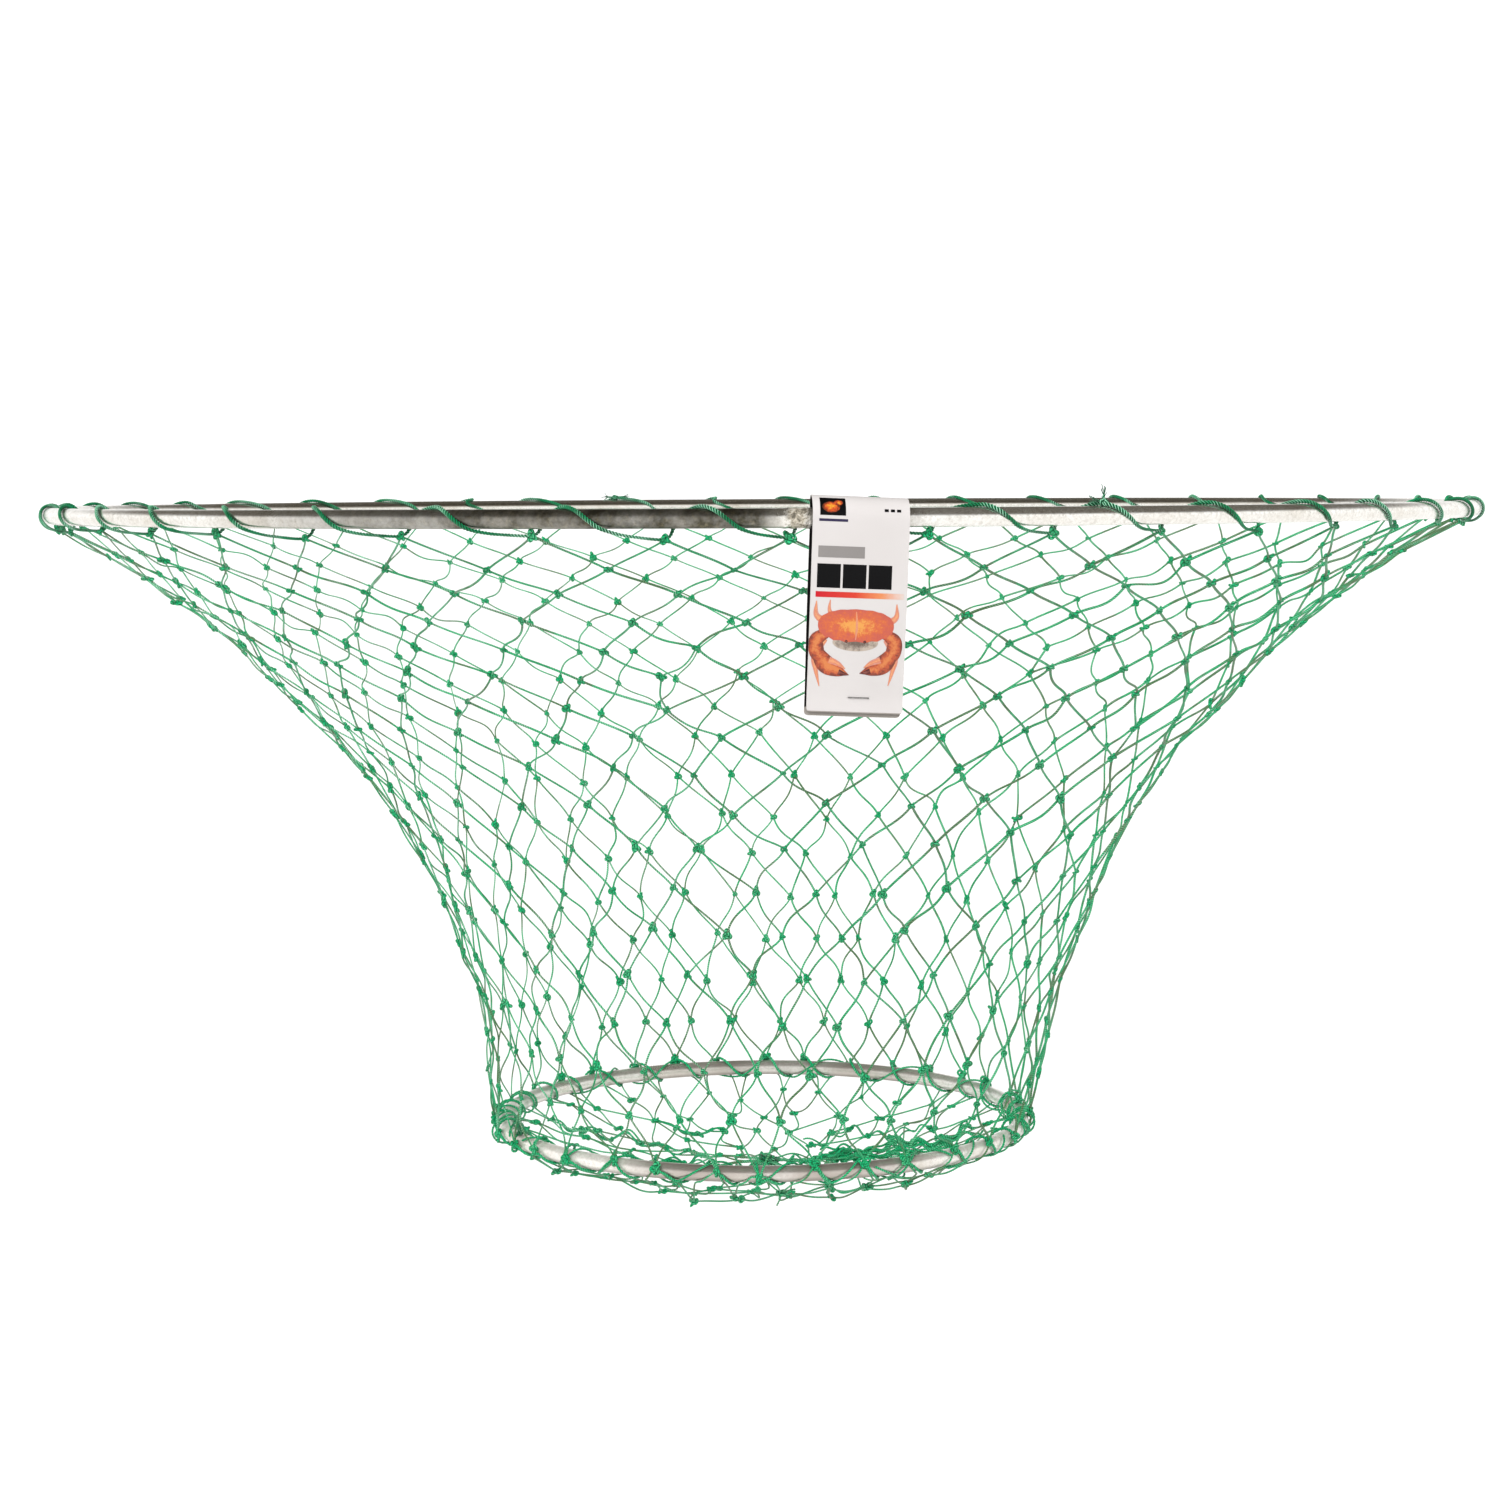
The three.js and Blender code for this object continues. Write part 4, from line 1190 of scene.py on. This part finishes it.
def ellipse(u, v, wide, tall, count=24):
    t = np.linspace(0, 2 * np.pi, count + 1)[:-1]
    return np.stack([u + wide * np.cos(t), v + tall * np.sin(t)], -1)


# print: plain bars where a maker would set words, a small picture block, a fading rule and a drawn crab
block(-18.6, -7.0, 4.6, 13.6, INK, 0.03)
blob(ellipse(-13.6, 9.8, 4.0, 2.6), OCHRE, 0.06)
blob(ellipse(-10.2, 7.6, 2.0, 1.4), OCHRE, 0.065)
block(-19.0, -6.0, 15.1, 16.3, NAVY)
for u in (10.4, 13.2, 16.0):
    block(u, u + 1.9, 10.0, 11.3, INK)
block(-19.0, 2.0, 27.2, 32.4, GREY)
for u in (-19.2, -7.6, 4.0):
    block(u, u + 10.6, 35.2, 46.0, INK)
block(-19.6, 20.4, 47.7, 50.3, RULE)

CRAB_U, CRAB_V = -0.8, 62.8  # the middle of its shell
# limbs of the right-hand side, from the shell's middle: points, widths, ink and how proud
LEGS = [
    ([(13.0, -1), (18.0, -4.2), (18.2, -10.4)], [3.4, 2.6, 0.4], PALE, 0.05),
    ([(15, 3), (19.6, 6.0), (20.6, 12.0)], [3.0, 2.4, 0.6], PALE, 0.045),
    ([(14, 6), (18.2, 14), (17.4, 20), (15.6, 27)], [3.0, 2.8, 2.0, 0.4], PALE, 0.05),
    ([(13.5, 3.5), (17.6, 6.6), (17.4, 11.6), (15.4, 14.4)], [4.6, 6.6, 7.0, 6.0], ARM, 0.07),
    ([(17.4, 11.4), (13.2, 17.0), (7.8, 19.8), (2.8, 21.4)], [5.4, 8.4, 5.8, 0.4], ARM, 0.08),
    ([(7.2, 20.4), (4.6, 21.2), (2.4, 21.6)], [2.6, 1.6, 0.3], DARK, 0.09),
    ([(11.6, 15.2), (7.4, 16.8), (4.2, 19.0)], [3.0, 2.2, 0.4], PALE, 0.085),
]
EXTRA_LEG = ([(9.5, -3), (12.2, -6.4), (12.0, -11.0)], [2.6, 1.8, 0.4], PALE, 0.05)  # shown on the left only
blob(ellipse(CRAB_U, CRAB_V + 7.6, 10.4, 4.0, 36), MOUTH, 0.04)
for side, legs, longer in ((-1, [LEGS[0], EXTRA_LEG, *LEGS[1:]], 1.04), (1, LEGS, 1.0)):
    for points, widths, ink, proud in legs:
        stroke([(CRAB_U + side * x, CRAB_V + y * longer) for x, y in points], widths, ink, proud)
theta = np.linspace(0, 2 * np.pi, 73)[:-1]
wide = np.sign(np.cos(theta)) * np.abs(np.cos(theta)) ** 0.8 * 17.2
rim = np.where(np.sin(theta) < 0, 0.12, 0.3) * np.cos(18 * theta)
tall = np.sign(np.sin(theta)) * np.abs(np.sin(theta)) ** 0.85 * 7.4 + rim
blob(np.stack([CRAB_U + wide, CRAB_V + tall], -1), SHELL, 0.1)
for side in (-1, 1):
    blob(ellipse(CRAB_U + side * 4.2, CRAB_V + 7.2, 0.7, 0.7, 10), DARK, 0.13)
stroke([(CRAB_U, CRAB_V - 6.4), (CRAB_U + 0.4, CRAB_V), (CRAB_U, CRAB_V + 6.4)], [0.4, 1.0, 0.4], PALE, 0.12)
block(-CARD_HALF, CARD_HALF, front_end - 0.5, front_end - 0.02, RAW, 0.03)
shape.piece("card_board", CARD_MATERIALS, "header_card", "card")


# ---- Staple ----
def staple_finish():
    f = Finish("staple_wire", Metallic=1.0)
    scratch = f.noise(1500.0)
    return f.set(
        Base_Color=f.ramp(scratch, (0.35, 120, 118, 116), (0.65, 176, 174, 172)),
        Roughness=f.remap(scratch, 0.25, 0.45),
        Normal=f.bump(scratch, 0.02 * MM, 0.4),
    )


staple_v = crest - np.interp(-80.9, strip[: len(strip) // 2, 1], strip_run[: len(strip) // 2])
half = 4.6  # half the staple's width
front = lambda u: on_card(u + 1.6, staple_v, 0.28)
rear = lambda u, proud=0.26: on_card(u + 2.3, -staple_v, proud)
line = [rear(-1.6, 0.75), rear(-half + 0.5, 0.3), rear(-half), front(-half), front(-half + 0.35), front(0.0)]
line += [front(half - 0.35), front(half), rear(half), rear(half - 0.5, 0.3), rear(1.6, 0.75)]
shape = Shape()
add_tube(shape, resample(catmull(line, 6), 90), 0.28, 8)
shape.piece("staple", [staple_finish()], "card_staple", "card")


# ---- Stage ----
def linear(*colour):
    """Keeps a colour that is written as linear light."""
    return colour


def floor_finish():
    f = Finish("studio_floor", Roughness=0.9)
    white = f.ramp(f.noise(0.8, 2.0), (0.3, 0.9, 0.9, 0.9), (0.7, 0.93, 0.93, 0.93), tone=linear)
    return f.set(Base_Color=white)


reach, drop = 60.0 / MM, -0.95 / MM
corners = [(-reach, -reach, drop), (reach, -reach, drop), (reach, reach, drop), (-reach, reach, drop)]
shape = Shape()
shape.add(corners, [(0, 1, 2, 3)])
shape.mesh_object("studio_floor", [floor_finish()])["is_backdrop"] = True

world = bpy.data.worlds.new("studio")
bpy.context.scene.world = world
sky = Finish("studio", world, "Background")
height = sky.split(sky.place("Generated"))[2]
sky.set(Color=sky.ramp(height, (0.28, 1.2, 1.2, 1.2), (0.5, 0.09, 0.08, 0.06), tone=linear))


def sun(name, strength, spread, rotation):
    light = bpy.data.objects.new(name, bpy.data.lights.new(name, "SUN"))
    light.data.energy = strength
    light.data.angle = math.radians(spread)
    light.rotation_euler = [math.radians(a) for a in rotation]
    light.visible_glossy = False
    bpy.context.collection.objects.link(light)


sun("key", 3.3, 50, (44, -14, 0))
sun("fill", 0.6, 80, (70, 20, 0))
sun("top", 0.7, 60, (0, 0, 0))

bpy.context.scene.view_settings.view_transform = "Standard"
bpy.context.scene.view_settings.look = "None"

low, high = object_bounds()
